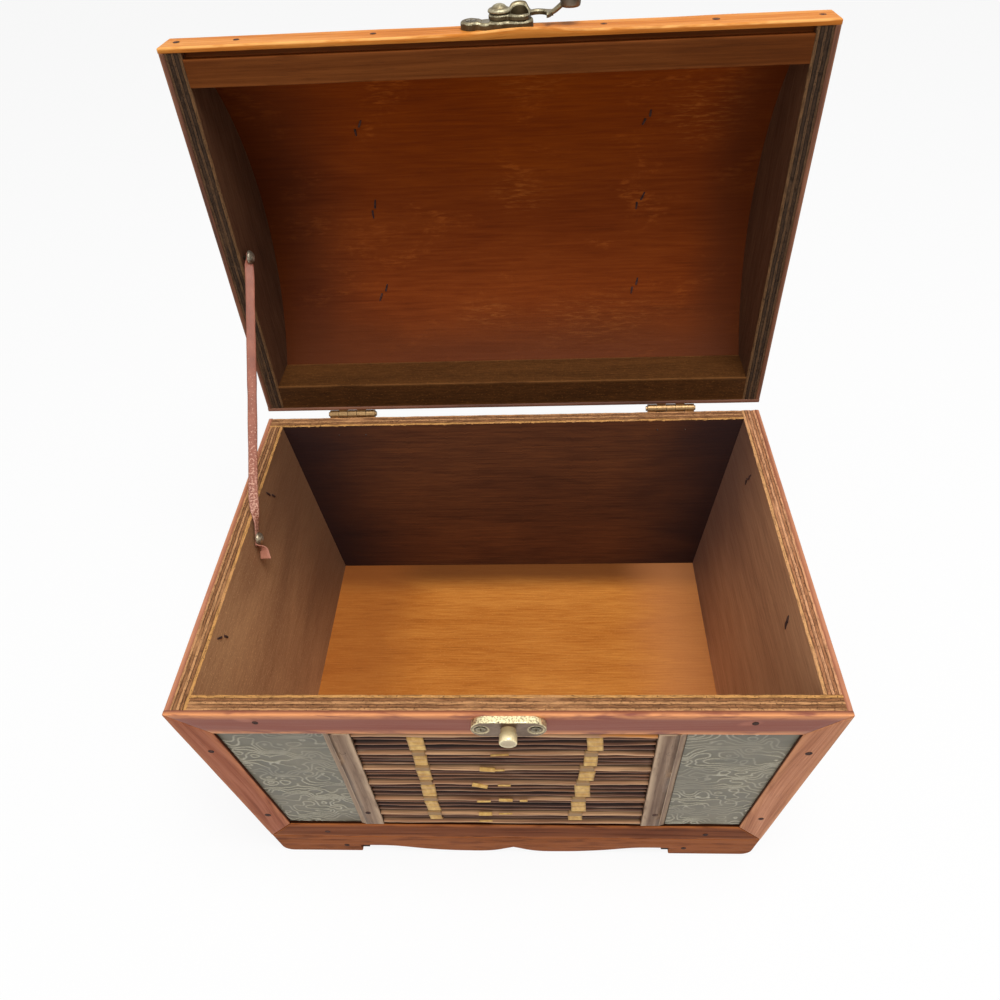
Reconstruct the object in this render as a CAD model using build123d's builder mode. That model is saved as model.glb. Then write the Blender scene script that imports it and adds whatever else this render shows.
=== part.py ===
"""Flared trunk with an arched lid, in millimetres, standing on its feet with the lid open.

Plywood carcass, dressed with thin pine boards, battens, embossed sheet and split cane. The lid turns on two
butt hinges, leans back against a stay strap, and is held shut by a swinging hook over a stud.
X runs along the front, Y from front to back, Z up. Z = 0 is the floor. The lid is drawn shut and turned open.
"""

import os
from math import asin, cos, degrees, radians, sin, sqrt, tan

from build123d import *

# ------------------------------------------------------------------ overall sizes
rim_width = 380.0  # across the flared sides, at the rim
rim_depth = 255.0  # front trim face to back panel face
body_height = 204.0  # floor to rim
side_flare = 5.5  # lean of each side from upright, degrees
open_angle = 93.0  # swing of the lid from shut to its stay
rim_gap = 0.4  # between the shut lid and the rim

# ------------------------------------------------------------------ timber
wall = 10.0  # plywood of the walls
floor_ply = 6.0
inside_floor = 32.0  # ground to the inside floor
trim = 3.0  # thickness of every face board
rail_width = 21.5  # horizontal frame boards
stile_width = 20.0  # upright frame boards
batten_width = 16.0
batten_gap = 1.0  # between a batten's end and the rail
front_batten_x = 96.3  # centre line of the battens on the front and the lid
side_batten_y = 62.5  # centre line of the side battens, from the middle of the side
base_height = 28.0  # base board, floor to its top
wall_foot = 14.0  # underside of the walls
relief_sheet = 1.2  # embossed sheet
front_foot = 58.5  # length of a foot along the front
side_foot = 52.0  # length of a foot along a side
foot_block_deep = 26.0
foot_block_over = 4.5  # how far a foot block shows past its foot
corner_round = 7.0  # lower corners of the front base board
# Lower edge of a base board, from its middle (0) to its foot (1), with the height at each share of the way.
apron_curve = [(0.0, 9.5), (0.12, 3.4), (0.33, 1.9), (0.55, 4.4), (0.8, 10.2), (1.0, 10.5)]

# ------------------------------------------------------------------ split cane
thick_rod = 3.2
thin_rod = 2.25
thin_rods = 3  # between two thick ones
rod_gap = 0.25
thin_band = thin_rods * 2 * thin_rod + (thin_rods - 1) * rod_gap
cane_pitch = thin_band + 2 * (thick_rod + rod_gap)  # least distance from one thick rod to the next
rod_sink = 0.3  # how far a rod's axis lies inside the panel face
cane_end_gap = 0.4
tie_width = 8.8
tie_thick = 0.5
tie_x = 51.0  # centre line of the straw ties from the middle of a front panel
side_tie_y = 34.0  # the same on the sides

# ------------------------------------------------------------------ lid
lid_spring = 17.2  # where the arch starts, above the lid's underside
lid_rise = 56.0  # crown of the arch above that
lid_ply = 4.0
lid_front_batten = 18.8
lid_back_batten = 20.0
rabbet_deep = 3.7  # groove under the front batten
rabbet_high = 5.0

# ------------------------------------------------------------------ hinges
hinge_x = 123.5
hinge_width = 35.5
hinge_leaf = 1.2
leaf_drop = 16.0
knuckle_radius = 3.1
knuckle_offset = 3.5  # hinge axis behind the back face
knuckle_count = 5
knuckle_gap = 0.15
leaf_clear = 0.5  # between a leaf and the other half's knuckles
pin_radius = 1.3
pin_clearance = 0.05
pin_head = 1.0
leaf_screw_x = 10.5
leaf_screw_drop = 10.0

# ------------------------------------------------------------------ latch
latch_x = 4.0  # stud and pivot, right of the middle
plate = 4.2  # thickness of both plates
catch_long = 42.0
catch_tall = 15.8
catch_drop = 8.3  # centre of the catch plate below the rim
catch_screw_x = 15.25
pivot_rise = 13.0  # centre of the lid plate above the lid's underside
stud_waist = 4.0
stud_head = 5.0
stud_reach = 12.5
stud_tenon = 2.0
stud_round = 0.8
arm_thick = 2.6
arm_gap = 0.35  # between the arm and what it slides over
hook_clearance = 0.4
rivet_radius = 2.5
rivet_head = 6.2
rivet_dome = 2.6
ring_x = 11.2
ring_radius = 7.6
ring_hole = 4.0
hook_radius = 7.2
hook_entry = 50.0  # angle of the open slot through which the stud comes in, degrees
lobe_x = 16.2
lobe_radius = 6.2
neck_width = 5.0
neck_start = 27.6  # where the neck begins to rise
neck_flat = 2.0  # level length on its lower side
knob_x = 41.5
knob_radius = 5.8
knob_base = 8.6
knob_long = 10.0
knob_round = 1.2

# ------------------------------------------------------------------ fasteners
nail_shank = 0.9
nail_head = 1.7
nail_head_deep = 0.8
nail_length = 11.0
nail_fit = 0.03
rail_nails = (-139.0, 139.0)  # across the front, in its top rail
low_rail_nails = (-131.0, 134.0)  # the same in its bottom rail
rail_nail_inset = 8.5  # from the outer edge of a rail
stile_nail_drop = 44.0  # upper nail of a stile, below the rim
stile_nail_rise = 37.0  # its lower nail, above the base board
batten_nail_drop = 45.0
batten_nail_rise = 42.0
base_nail_inset = 48.4  # from the foot's lower corner
base_nail_drop = 17.0  # below the top of the base board
side_rail_nails = (-88.0, 88.0)
side_low_nails = (-80.0, 80.0)
side_base_nails = (-86.0, 86.0)
side_nail_inset = 10.5
side_base_nail_drop = 8.5
screw_shank = 1.3
screw_head = 2.9
screw_length = 12.0
screw_point = 1.5
screw_fit = 0.05
cross_long = 3.4
cross_wide = 0.7
cross_deep = 1.1
staple_wide = 8.0
staple_wire = 0.5
staple_leg = 11.5
lid_staple_leg = 6.0
staple_stand = 0.1  # keeps a straight staple off the curved ceiling
wall_staple_drop = 16.0  # below the rim
wall_staple_turn = 60.0  # of the crown, from level
ceiling_staple_turn = 75.0
ceiling_staple_angles = (-23.0, -1.0, 21.0)  # from the crown of the arch, degrees

# ------------------------------------------------------------------ stay strap
strap_width = 5.8
strap_thick = 1.5
strap_end = 7.0  # past each nail
strap_gap = 0.3
strap_nail = 1.2
strap_nail_head = 3.0
strap_nail_dome = 1.6
strap_nail_length = 7.0
stay_foot = (140.5, 12.4)  # behind the front face, below the rim
stay_head = (129.5, 6.5)  # behind the front face, above the lid's underside

# ------------------------------------------------------------------ places that follow from the sizes
flare = radians(side_flare)
swing = radians(open_angle)
rim_z = body_height
lid_z = rim_z + rim_gap
hinge_z = rim_z + rim_gap / 2
arch_half = rim_depth / 2 - trim
arch_radius = (arch_half**2 + lid_rise**2) / (2 * lid_rise)
arch_z = lid_z + lid_spring + lid_rise - arch_radius
cover_radius = arch_radius + trim
lid_rail = arch_z - lid_z + sqrt(cover_radius**2 - arch_half**2)

# The open lid's rearmost point is the arch's outer radius behind its turned centre.
arch_back = -(rim_depth / 2 + knuckle_offset) * cos(swing) + (arch_z - hinge_z) * sin(swing) + cover_radius
reach_back = rim_depth + knuckle_offset + arch_back
front_y = (stud_reach - reach_back) / 2
back_y = front_y + rim_depth
ply_front = front_y + trim
middle_y = front_y + rim_depth / 2
hinge_y = back_y + knuckle_offset
hinge_axis = Axis((0, hinge_y, hinge_z), (1, 0, 0))
inner_x = rim_width / 2 - trim - wall

front_face = Plane(origin=(0, ply_front, rim_z), x_dir=(1, 0, 0), z_dir=(0, -1, 0))
front_skin = front_face.offset(trim)
lid_front = Plane(origin=(latch_x, front_y, lid_z + pivot_rise), x_dir=(1, 0, 0), z_dir=(0, -1, 0))


def lean_x(side, inset, z):
    """X at height z of the plane that lies inset inside a side's outer face. side is -1 or 1."""
    return side * (rim_width / 2 - (rim_z - z) * tan(flare) - inset / cos(flare))


def side_face(side):
    """Outer plywood face of a side: local x along the chest, local y up the slope, z outwards."""
    return Plane(
        origin=(lean_x(side, trim, rim_z), (ply_front + back_y) / 2, rim_z),
        x_dir=(0, side, 0),
        z_dir=(side * cos(flare), 0, -sin(flare)),
    )


def slope(height):
    """Length along a leaning side of a vertical height."""
    return height / cos(flare)


def opened(y, z):
    """Where a point of the shut lid's cross-section lies once the lid is open."""
    near, up = y - hinge_y, z - hinge_z
    return hinge_y + near * cos(swing) + up * sin(swing), hinge_z - near * sin(swing) + up * cos(swing)


def write(piece, name, on_lid=False):
    """Name a finished piece and write it, turned open with the lid if it belongs to the lid."""
    solid = piece.part.rotate(hinge_axis, -open_angle) if on_lid else piece.part
    solid.label = name
    export_step(solid, f"parts/{name}.step")


def write_apart(pieces, name):
    """Write pieces that touch as separate solids of one node."""
    solid = Compound(label=name, children=[piece.part for piece in pieces])
    export_step(solid, f"parts/{name}.step")


def spots(plane, points, height=0.0):
    """Locations on a plane, each with its z axis pointing out of the plane."""
    return [plane * Pos(u, v, height) for u, v in points]


def on_arch(x, angle, radius):
    """Location on the lid's arch at an angle from the crown, its z axis pointing away from the centre."""
    a = radians(angle)
    out = (0, sin(a), cos(a))
    point = (x, middle_y + radius * sin(a), arch_z + radius * cos(a))
    return Location(Plane(origin=point, x_dir=(1, 0, 0), z_dir=out))


def arch_angle(y_from_middle, radius):
    """Angle from the crown of the point of an arc that lies that far from the middle in plan."""
    return degrees(asin(y_from_middle / radius))


# ------------------------------------------------------------------ fastener shapes, each pointing down from z = 0
with BuildPart() as nail:
    with BuildSketch():
        Circle(nail_head)
    extrude(amount=-nail_head_deep)
    with BuildSketch():
        Circle(nail_shank)
    extrude(amount=-nail_length)

with BuildPart() as screw:
    with BuildSketch(Plane.XZ):
        with BuildLine():
            Polyline(
                (0, 0),
                (screw_head, 0),
                (screw_shank, screw_shank - screw_head),
                (screw_shank, screw_point - screw_length),
                (0, -screw_length),
                close=True,
            )
        make_face()
    revolve(axis=Axis.Z)
    with BuildSketch():
        Rectangle(cross_long, cross_wide)
        Rectangle(cross_wide, cross_long)
    extrude(amount=-cross_deep, mode=Mode.SUBTRACT)


def staple_shape(leg):
    """U of round wire: the crown lies on z = 0 and the legs point down."""
    with BuildPart() as staple:
        for side in (-1, 1):
            with BuildSketch():
                with Locations((side * staple_wide / 2, 0)):
                    Circle(staple_wire)
            extrude(amount=-leg)
        with BuildSketch():
            Rectangle(staple_wide + 2 * staple_wire, 2 * staple_wire)
        extrude(amount=staple_wire)
    return staple


def group(shape, places):
    """Copies of one fastener, each a separate solid."""
    with BuildPart() as copies:
        with Locations(*places):
            add(shape.part)
    return copies


def nail_holes(places):
    """Holes for sunk nails, cut into the piece being built."""
    with Locations(*places):
        CounterBoreHole(nail_shank + nail_fit, nail_head + nail_fit, nail_head_deep, nail_length)


def screw_holes(places, depth=screw_length):
    """Countersunk holes, cut into the piece being built."""
    with Locations(*places):
        CounterSinkHole(screw_shank + screw_fit, screw_head + screw_fit, depth, 90)


def plain_holes(places, radius, depth):
    """Plain holes, cut into the piece being built."""
    with Locations(*places):
        Hole(radius, depth)


def staple_holes(places, leg):
    """Holes for both legs of each staple."""
    for side in (-1, 1):
        legs = [place * Pos(side * staple_wide / 2, 0, 0) for place in places]
        plain_holes(legs, staple_wire + nail_fit, leg)


def slab(plane, corners, thick):
    """Flat board on a plane with straight edges."""
    with BuildPart() as piece:
        with BuildSketch(plane):
            with BuildLine():
                Polyline(*corners, close=True)
            make_face()
        extrude(amount=thick)
    return piece


def upright(left, right, low, high, near, far):
    """Board between two edges, each a function from height to X, that reaches from near to far in Y."""
    corners = [(left(low), low), (right(low), low), (right(high), high), (left(high), high)]
    return slab(Plane.XZ.offset(-near), corners, near - far)


def drilled(piece, cuts):
    """The piece with each (function, places, ...) of cuts drilled into it."""
    with BuildPart() as done:
        add(piece.part)
        for cut, *how in cuts:
            cut(*how)
    return done


def leaning(side, inset):
    """Edge that follows a leaning side."""
    return lambda z: lean_x(side, inset, z)


def straight(x):
    """Upright edge."""
    return lambda z: x


os.makedirs("parts", exist_ok=True)

# ------------------------------------------------------------------ where the fasteners go
frame_low = base_height - rim_z
stile_nails = (-stile_nail_drop, frame_low + stile_nail_rise)  # heights from the rim
batten_nails = (-batten_nail_drop, frame_low + batten_nail_rise)
base_nail_x = lean_x(1, 0, 0) - base_nail_inset
front_nails = {
    "top_rail": [(x, -rail_nail_inset) for x in rail_nails],
    "bottom_rail": [(x, frame_low + rail_nail_inset) for x in low_rail_nails],
    "left_stile": [(lean_x(-1, stile_width / 2, rim_z + v), v) for v in stile_nails],
    "right_stile": [(lean_x(1, stile_width / 2, rim_z + v), v) for v in stile_nails],
    "battens": [(side * front_batten_x, v) for side in (-1, 1) for v in batten_nails],
    "base": [(side * base_nail_x, frame_low - base_nail_drop) for side in (-1, 1)],
}
front_nail_spots = {part: spots(front_face, points, trim) for part, points in front_nails.items()}
all_front_nails = [place for places in front_nail_spots.values() for place in places]

side_half = (rim_depth - trim) / 2
side_points = {
    "top_rail": [(y, -slope(side_nail_inset)) for y in side_rail_nails],
    "bottom_rail": [(y, slope(frame_low + side_nail_inset)) for y in side_low_nails],
    "front_stile": [(-side_half + stile_width / 2, slope(v)) for v in stile_nails],
    "back_stile": [(side_half - stile_width / 2, slope(v)) for v in stile_nails],
    "base": [(y, slope(frame_low - side_base_nail_drop)) for y in side_base_nails],
}

catch_places = spots(front_skin, [(latch_x + s * catch_screw_x, -catch_drop) for s in (-1, 1)], plate)
leaf_back = Plane(origin=(0, back_y, hinge_z), x_dir=(-1, 0, 0), z_dir=(0, 1, 0))
body_leaf_places = spots(
    leaf_back,
    [(side * hinge_x + s * leaf_screw_x, -leaf_screw_drop) for side in (-1, 1) for s in (-1, 1)],
    hinge_leaf,
)
lid_leaf_places = spots(
    leaf_back,
    [(side * hinge_x + s * leaf_screw_x, leaf_screw_drop) for side in (-1, 1) for s in (-1, 1)],
    hinge_leaf,
)


body_nail_places = [
    *all_front_nails,
    *(place for s in (-1, 1) for row in side_points.values() for place in spots(side_face(s), row, trim)),
]


def inside_wall(side):
    """Inner face of a side wall: local x along the chest, local y up the slope, z into the chest."""
    return Plane(
        origin=(lean_x(side, trim + wall, rim_z), middle_y, rim_z),
        x_dir=(0, -side, 0),
        z_dir=(-side * cos(flare), 0, sin(flare)),
    )


def wall_staples(side):
    """Two staples shot from inside through a side wall into its battens, legs one above the other."""
    turn = Rot(0, 0, wall_staple_turn)
    points = [(place * side_batten_y, -wall_staple_drop) for place in (-1, 1)]
    return [place * turn for place in spots(inside_wall(side), points)]


stay_low = Plane(
    origin=(lean_x(-1, trim + wall, rim_z - stay_foot[1]), front_y + stay_foot[0], rim_z - stay_foot[1]),
    x_dir=(0, 1, 0),
    z_dir=(cos(flare), 0, sin(flare)),
)

# ------------------------------------------------------------------ carcass
# Each panel butts against the next one round, so that one end of each shows at its corner.
front_panel = drilled(
    upright(leaning(-1, trim + wall), leaning(1, trim), wall_foot, rim_z, ply_front, ply_front + wall),
    [(nail_holes, body_nail_places), (screw_holes, catch_places)],
)
write(front_panel, "front_panel")

back_panel = drilled(
    upright(leaning(-1, trim), leaning(1, trim + wall), wall_foot, rim_z, back_y - wall, back_y),
    [(nail_holes, body_nail_places), (screw_holes, body_leaf_places)],
)
write(back_panel, "back_panel")

for side, name, near, far in (
    (-1, "left", ply_front, back_y - wall),
    (1, "right", ply_front + wall, back_y),
):
    ends = sorted((leaning(side, trim), leaning(side, trim + wall)), key=lambda edge: edge(rim_z))
    cuts = [(nail_holes, body_nail_places), (staple_holes, wall_staples(side), staple_leg)]
    if side < 0:
        cuts.append((plain_holes, [Location(stay_low)], strap_nail + nail_fit, strap_nail_length))
    side_panel = drilled(upright(*ends, wall_foot, rim_z, near, far), cuts)
    write(side_panel, f"{name}_panel")

floor_top = inside_floor
bottom_panel = upright(
    leaning(-1, trim + wall),
    leaning(1, trim + wall),
    floor_top - floor_ply,
    floor_top,
    ply_front + wall,
    back_y - wall,
)
write(bottom_panel, "bottom_panel")

with BuildPart() as foot_blocks:
    for side in (-1, 1):
        inner_end = side * (lean_x(1, 0, 0) - front_foot - foot_block_over)
        ends = sorted((leaning(side, trim), straight(inner_end)), key=lambda edge: edge(0))
        for near in (ply_front, back_y - foot_block_deep):
            block = upright(*ends, 0, wall_foot, near, near + foot_block_deep)
            add(block.part)
    nail_holes(body_nail_places)
write(foot_blocks, "foot_blocks")


def mitred(plane, outer, inner, index, thick):
    """One board of a four-cornered frame, mitred at both ends. Corners run clockwise from the top left."""
    following = (index + 1) % len(outer)
    return slab(plane, [outer[index], outer[following], inner[following], inner[index]], thick)


def apron(half, foot_long):
    """Half of a base board's lower edge, from the middle out to the foot, drawn in the current line."""
    reach = half - foot_long
    curve = Spline(*((share * reach, height) for share, height in apron_curve))
    Polyline(curve @ 1, (reach, 0))
    return reach


def base_board(plane, half_low, half_high, foot_long, low, high, round_end):
    """Base board on a plane: a scalloped apron between two feet, its lower corners rounded."""
    with BuildPart() as board:
        with BuildSketch(plane.shift_origin(plane.from_local_coords((0, low, 0)))):
            for mirrored in (False, True):
                with BuildSketch(Plane.XY, mode=Mode.PRIVATE) as half_board:
                    with BuildLine():
                        reach = apron(half_low, foot_long)
                        corners = [(reach, 0), (half_low, 0), (half_high, high - low), (0, high - low)]
                        Polyline(*corners, (0, apron_curve[0][1]))
                    make_face()
                shape = half_board.sketch.mirror(Plane.YZ) if mirrored else half_board.sketch
                add(shape)
            if round_end:
                corners = vertices().group_by(Axis.Y)[0].sort_by(Axis.X)
                fillet([corners[0], corners[-1]], round_end)
        extrude(amount=trim)
    return board


# ------------------------------------------------------------------ front dressing
front_outer = [
    (lean_x(-1, 0, rim_z), 0),
    (lean_x(1, 0, rim_z), 0),
    (lean_x(1, 0, base_height), frame_low),
    (lean_x(-1, 0, base_height), frame_low),
]
front_top_v = -rail_width
front_low_v = frame_low + rail_width
front_inner = [
    (lean_x(-1, stile_width, rim_z + front_top_v), front_top_v),
    (lean_x(1, stile_width, rim_z + front_top_v), front_top_v),
    (lean_x(1, stile_width, rim_z + front_low_v), front_low_v),
    (lean_x(-1, stile_width, rim_z + front_low_v), front_low_v),
]
for index, part in enumerate(("top_rail", "right_stile", "bottom_rail", "left_stile")):
    cuts = [(nail_holes, front_nail_spots[part])]
    if part == "top_rail":
        cuts.append((screw_holes, catch_places))
    board = drilled(mitred(front_face, front_outer, front_inner, index, trim), cuts)
    write(board, f"front_{part}")


def band(left, right, low, high):
    """Corners of an upright rectangle, its first two values in either order."""
    left, right = sorted((left, right))
    return [(left, low), (right, low), (right, high), (left, high)]


def both(pieces):
    """Several pieces as separate solids of one group."""
    with BuildPart() as together:
        for piece in pieces:
            add(piece.part)
    return together


batten_half = batten_width / 2
front_battens = drilled(
    both(
        slab(
            front_face,
            band(
                side * front_batten_x - batten_half,
                side * front_batten_x + batten_half,
                front_low_v + batten_gap,
                front_top_v - batten_gap,
            ),
            trim,
        )
        for side in (-1, 1)
    ),
    [(nail_holes, front_nail_spots["battens"])],
)
write(front_battens, "front_battens")


def front_relief(side):
    """Embossed sheet between a stile and a batten, with one leaning edge."""
    inner = side * (front_batten_x + batten_half)
    corners = [
        (inner, front_low_v),
        (lean_x(side, stile_width, rim_z + front_low_v), front_low_v),
        (lean_x(side, stile_width, rim_z + front_top_v), front_top_v),
        (inner, front_top_v),
    ]
    return slab(front_face, corners, relief_sheet)


write(both(front_relief(side) for side in (-1, 1)), "front_relief_panels")

front_base = drilled(
    base_board(
        front_face, lean_x(1, 0, 0), lean_x(1, 0, base_height), front_foot, -rim_z, frame_low, corner_round
    ),
    [(nail_holes, front_nail_spots["base"])],
)
write(front_base, "front_base_board")


def cane_rows(low, high):
    """Middles of the thick rods between two edges, and middles of the bands of thin rods between them."""
    span = high - low - 2 * thick_rod - rod_gap
    count = int(span / cane_pitch)
    first, pitch = low + rod_gap / 2 + thick_rod, span / count
    thick = [first + row * pitch for row in range(count + 1)]
    return thick, [middle + pitch / 2 for middle in thick[:-1]]


def cane_rods(low, high):
    """Middles and radii of all the rods between two edges."""
    thick, bands = cane_rows(low, high)
    rods = [(middle, thick_rod) for middle in thick]
    for middle in bands:
        for thin in range(thin_rods):
            rods.append((middle + (thin - (thin_rods - 1) / 2) * (2 * thin_rod + rod_gap), thin_rod))
    return rods


def flat_cane(face, length, low, high):
    """Rods with their flat backs on a face, along its local x, between two heights."""
    end = Plane(origin=face.origin, x_dir=face.y_dir, z_dir=face.x_dir)
    with BuildPart() as rods:
        with BuildSketch(end):
            for middle, radius in cane_rods(low, high):
                with Locations((middle, -rod_sink)):
                    Circle(radius)
            with Locations(((low + high) / 2, 0)):
                Rectangle(high - low, 2 * thick_rod, align=(Align.CENTER, Align.MAX), mode=Mode.SUBTRACT)
        extrude(amount=length / 2, both=True)
    return rods


def flat_ties(face, places, low, high):
    """Straw ties that lie over the thin rods of each row."""
    bands = cane_rows(low, high)[1]
    with BuildPart() as ties:
        with BuildSketch(face.offset(thin_rod - rod_sink)):
            with Locations(*[(x, middle) for middle in bands for x in places]):
                Rectangle(tie_width, thin_band)
        extrude(amount=tie_thick)
    return ties


front_cane_long = 2 * (front_batten_x - batten_half - cane_end_gap)
write(flat_cane(front_face, front_cane_long, front_low_v, front_top_v), "front_cane_rods")
write(flat_ties(front_face, (-tie_x, tie_x), front_low_v, front_top_v), "front_cane_ties")

# ------------------------------------------------------------------ side dressing
side_low = slope(frame_low)
side_top_v = -rail_width
side_low_v = side_low + rail_width
side_outer = band(-side_half, side_half, side_low, 0)[::-1]
side_inner = band(-side_half + stile_width, side_half - stile_width, side_low_v, side_top_v)[::-1]
side_floor = -slope(rim_z - trim * sin(flare))
for side, name in ((-1, "left"), (1, "right")):
    face = side_face(side)
    holes = [(nail_holes, body_nail_places), (staple_holes, wall_staples(side), staple_leg)]
    boards = [drilled(mitred(face, side_outer, side_inner, index, trim), holes) for index in range(4)]
    write_apart(boards, f"{name}_side_frame")
    battens = both(
        slab(
            face,
            band(
                place * side_batten_y - batten_half,
                place * side_batten_y + batten_half,
                side_low_v + batten_gap,
                side_top_v - batten_gap,
            ),
            trim,
        )
        for place in (-1, 1)
    )
    write(drilled(battens, holes), f"{name}_side_battens")
    relief_inner = side_batten_y + batten_half
    relief_outer = side_half - stile_width
    reliefs = both(
        slab(face, band(at * relief_inner, at * relief_outer, side_low_v, side_top_v), relief_sheet)
        for at in (-1, 1)
    )
    write(reliefs, f"{name}_relief_panels")
    side_cane_long = 2 * (side_batten_y - batten_half - cane_end_gap)
    write(flat_cane(face, side_cane_long, side_low_v, side_top_v), f"{name}_cane_rods")
    write(flat_ties(face, (-side_tie_y, side_tie_y), side_low_v, side_top_v), f"{name}_cane_ties")
    board = base_board(face, side_half, side_half, side_foot, side_floor, side_low, 0)
    write(drilled(board, [(nail_holes, body_nail_places)]), f"{name}_base_board")

# ------------------------------------------------------------------ catch on the front rail
catch_centre = (latch_x, -catch_drop)
with BuildPart() as catch_plate:
    with BuildSketch(front_skin):
        with Locations(catch_centre):
            SlotOverall(catch_long, catch_tall)
    extrude(amount=plate)
    fillet(edges().group_by(Axis.Y)[0], plate / 3)
    screw_holes(catch_places)
    plain_holes(spots(front_skin, [catch_centre], plate), stud_tenon + screw_fit, plate)
write(catch_plate, "catch_plate")

waist_long = arm_thick + 2 * arm_gap
with BuildPart() as catch_stud:
    stud_place = front_skin.shift_origin(front_skin.from_local_coords((*catch_centre, 0)))
    with BuildSketch(stud_place):
        Circle(stud_tenon)
    extrude(amount=plate)
    with BuildSketch(stud_place.offset(plate)):
        Circle(stud_waist)
    extrude(amount=waist_long)
    with BuildSketch(stud_place.offset(plate + waist_long)):
        Circle(stud_head)
    extrude(amount=stud_reach - plate - waist_long)
    fillet(edges().group_by(Axis.Y)[0], stud_round)
write(catch_stud, "catch_stud")
write(group(screw, catch_places), "catch_screws")

# ------------------------------------------------------------------ hinges
knuckle_long = hinge_width / knuckle_count
leaf_start = knuckle_radius + leaf_clear
leaf_y = back_y + hinge_leaf / 2


def hinge_leaves(direction, knuckles):
    """Both leaves of one half of the hinges. direction is -1 for the body's half and 1 for the lid's."""
    with BuildPart() as leaves:
        for centre in (-hinge_x, hinge_x):
            with BuildSketch(Plane.YZ.offset(centre - hinge_width / 2)):
                with Locations((leaf_y, hinge_z + direction * (leaf_drop + leaf_start) / 2)):
                    Rectangle(hinge_leaf, leaf_drop - leaf_start)
            extrude(amount=hinge_width)
            for knuckle in knuckles:
                start = centre - hinge_width / 2 + knuckle * knuckle_long
                with BuildSketch(Plane.YZ.offset(start + knuckle_gap)):
                    with Locations((hinge_y, hinge_z)):
                        Circle(knuckle_radius)
                    with Locations((leaf_y, hinge_z + direction * leaf_drop / 2)):
                        Rectangle(hinge_leaf, leaf_drop)
                    with Locations((hinge_y, hinge_z)):
                        Circle(pin_radius + pin_clearance, mode=Mode.SUBTRACT)
                extrude(amount=knuckle_long - 2 * knuckle_gap)
        screw_holes(body_leaf_places if direction < 0 else lid_leaf_places, hinge_leaf)
    return leaves


write(hinge_leaves(-1, range(0, knuckle_count, 2)), "hinge_body_leaves")
write(hinge_leaves(1, range(1, knuckle_count, 2)), "hinge_lid_leaves", on_lid=True)

with BuildPart() as hinge_pins:
    for centre in (-hinge_x, hinge_x):
        end = centre - hinge_width / 2
        with BuildSketch(Plane.YZ.offset(end)):
            with Locations((hinge_y, hinge_z)):
                Circle(pin_radius)
        extrude(amount=hinge_width)
        for start in (end - pin_head, end + hinge_width):
            with BuildSketch(Plane.YZ.offset(start)):
                with Locations((hinge_y, hinge_z)):
                    Circle(pin_radius + pin_head / 2)
            extrude(amount=pin_head)
write(hinge_pins, "hinge_pins")
write(group(screw, body_leaf_places), "hinge_body_screws")
write(group(screw, lid_leaf_places), "hinge_lid_screws", on_lid=True)

# ------------------------------------------------------------------ nails and staples of the body
write(group(nail, body_nail_places), "body_nails")
body_staples = wall_staples(-1) + wall_staples(1)
write(group(staple_shape(staple_leg), body_staples), "body_staples")

# ------------------------------------------------------------------ lid carcass
lid_inner_radius = arch_radius - lid_ply
lid_back = back_y - trim


def under_arch(left, right, near, far, radius):
    """Block of the lid below an arc about the arch's centre."""
    with BuildPart() as piece:
        with BuildSketch(Plane.YZ.offset(left)):
            with Locations(((near + far) / 2, lid_z)):
                Rectangle(far - near, lid_spring + lid_rise, align=(Align.CENTER, Align.MIN))
            with Locations((middle_y, arch_z)):
                Circle(radius, mode=Mode.INTERSECT)
        extrude(amount=right - left)
    return piece


lid_nail_end = rim_width / 2 - 8.0  # into the end walls
lid_nail_x = (-lid_nail_end, -147.0, -68.0, 62.0, 124.0, lid_nail_end)
rail_plane = Plane(origin=(0, front_y, lid_z), x_dir=(1, 0, 0), z_dir=(0, -1, 0))
lid_nail_places = spots(rail_plane, [(x, 11.0) for x in lid_nail_x])
hasp_screw = spots(lid_front, [(-lobe_x, 0)], plate)
top_staple_x = (-front_batten_x, front_batten_x)
ceiling_staples = [
    on_arch(x, angle, lid_inner_radius - staple_stand) * Rot(180, 0, ceiling_staple_turn)
    for x in top_staple_x
    for angle in ceiling_staple_angles
]

stay_high = Plane(
    origin=(-inner_x, front_y + stay_head[0], lid_z + stay_head[1]), x_dir=(0, 1, 0), z_dir=(1, 0, 0)
)
lid_left_wall = drilled(
    under_arch(-inner_x - wall, -inner_x, ply_front, lid_back, lid_inner_radius),
    [
        (nail_holes, lid_nail_places),
        (plain_holes, [Location(stay_high)], strap_nail + nail_fit, strap_nail_length),
    ],
)
write(lid_left_wall, "lid_left_wall", on_lid=True)
lid_right_wall = drilled(
    under_arch(inner_x, inner_x + wall, ply_front, lid_back, lid_inner_radius),
    [(nail_holes, lid_nail_places)],
)
write(lid_right_wall, "lid_right_wall", on_lid=True)

with BuildPart() as lid_front_rib:
    add(under_arch(-inner_x, inner_x, ply_front, ply_front + lid_front_batten, lid_inner_radius).part)
    with BuildSketch(Plane.YZ.offset(-inner_x)):
        with Locations((ply_front, lid_z)):
            Rectangle(rabbet_deep, rabbet_high, align=(Align.MIN, Align.MIN))
    extrude(amount=2 * inner_x, mode=Mode.SUBTRACT)
    nail_holes(lid_nail_places)
    screw_holes(hasp_screw)
write(lid_front_rib, "lid_front_batten", on_lid=True)

lid_back_rib = drilled(
    under_arch(-inner_x, inner_x, lid_back - lid_back_batten, lid_back, lid_inner_radius),
    [(screw_holes, lid_leaf_places)],
)
write(lid_back_rib, "lid_back_batten", on_lid=True)


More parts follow.
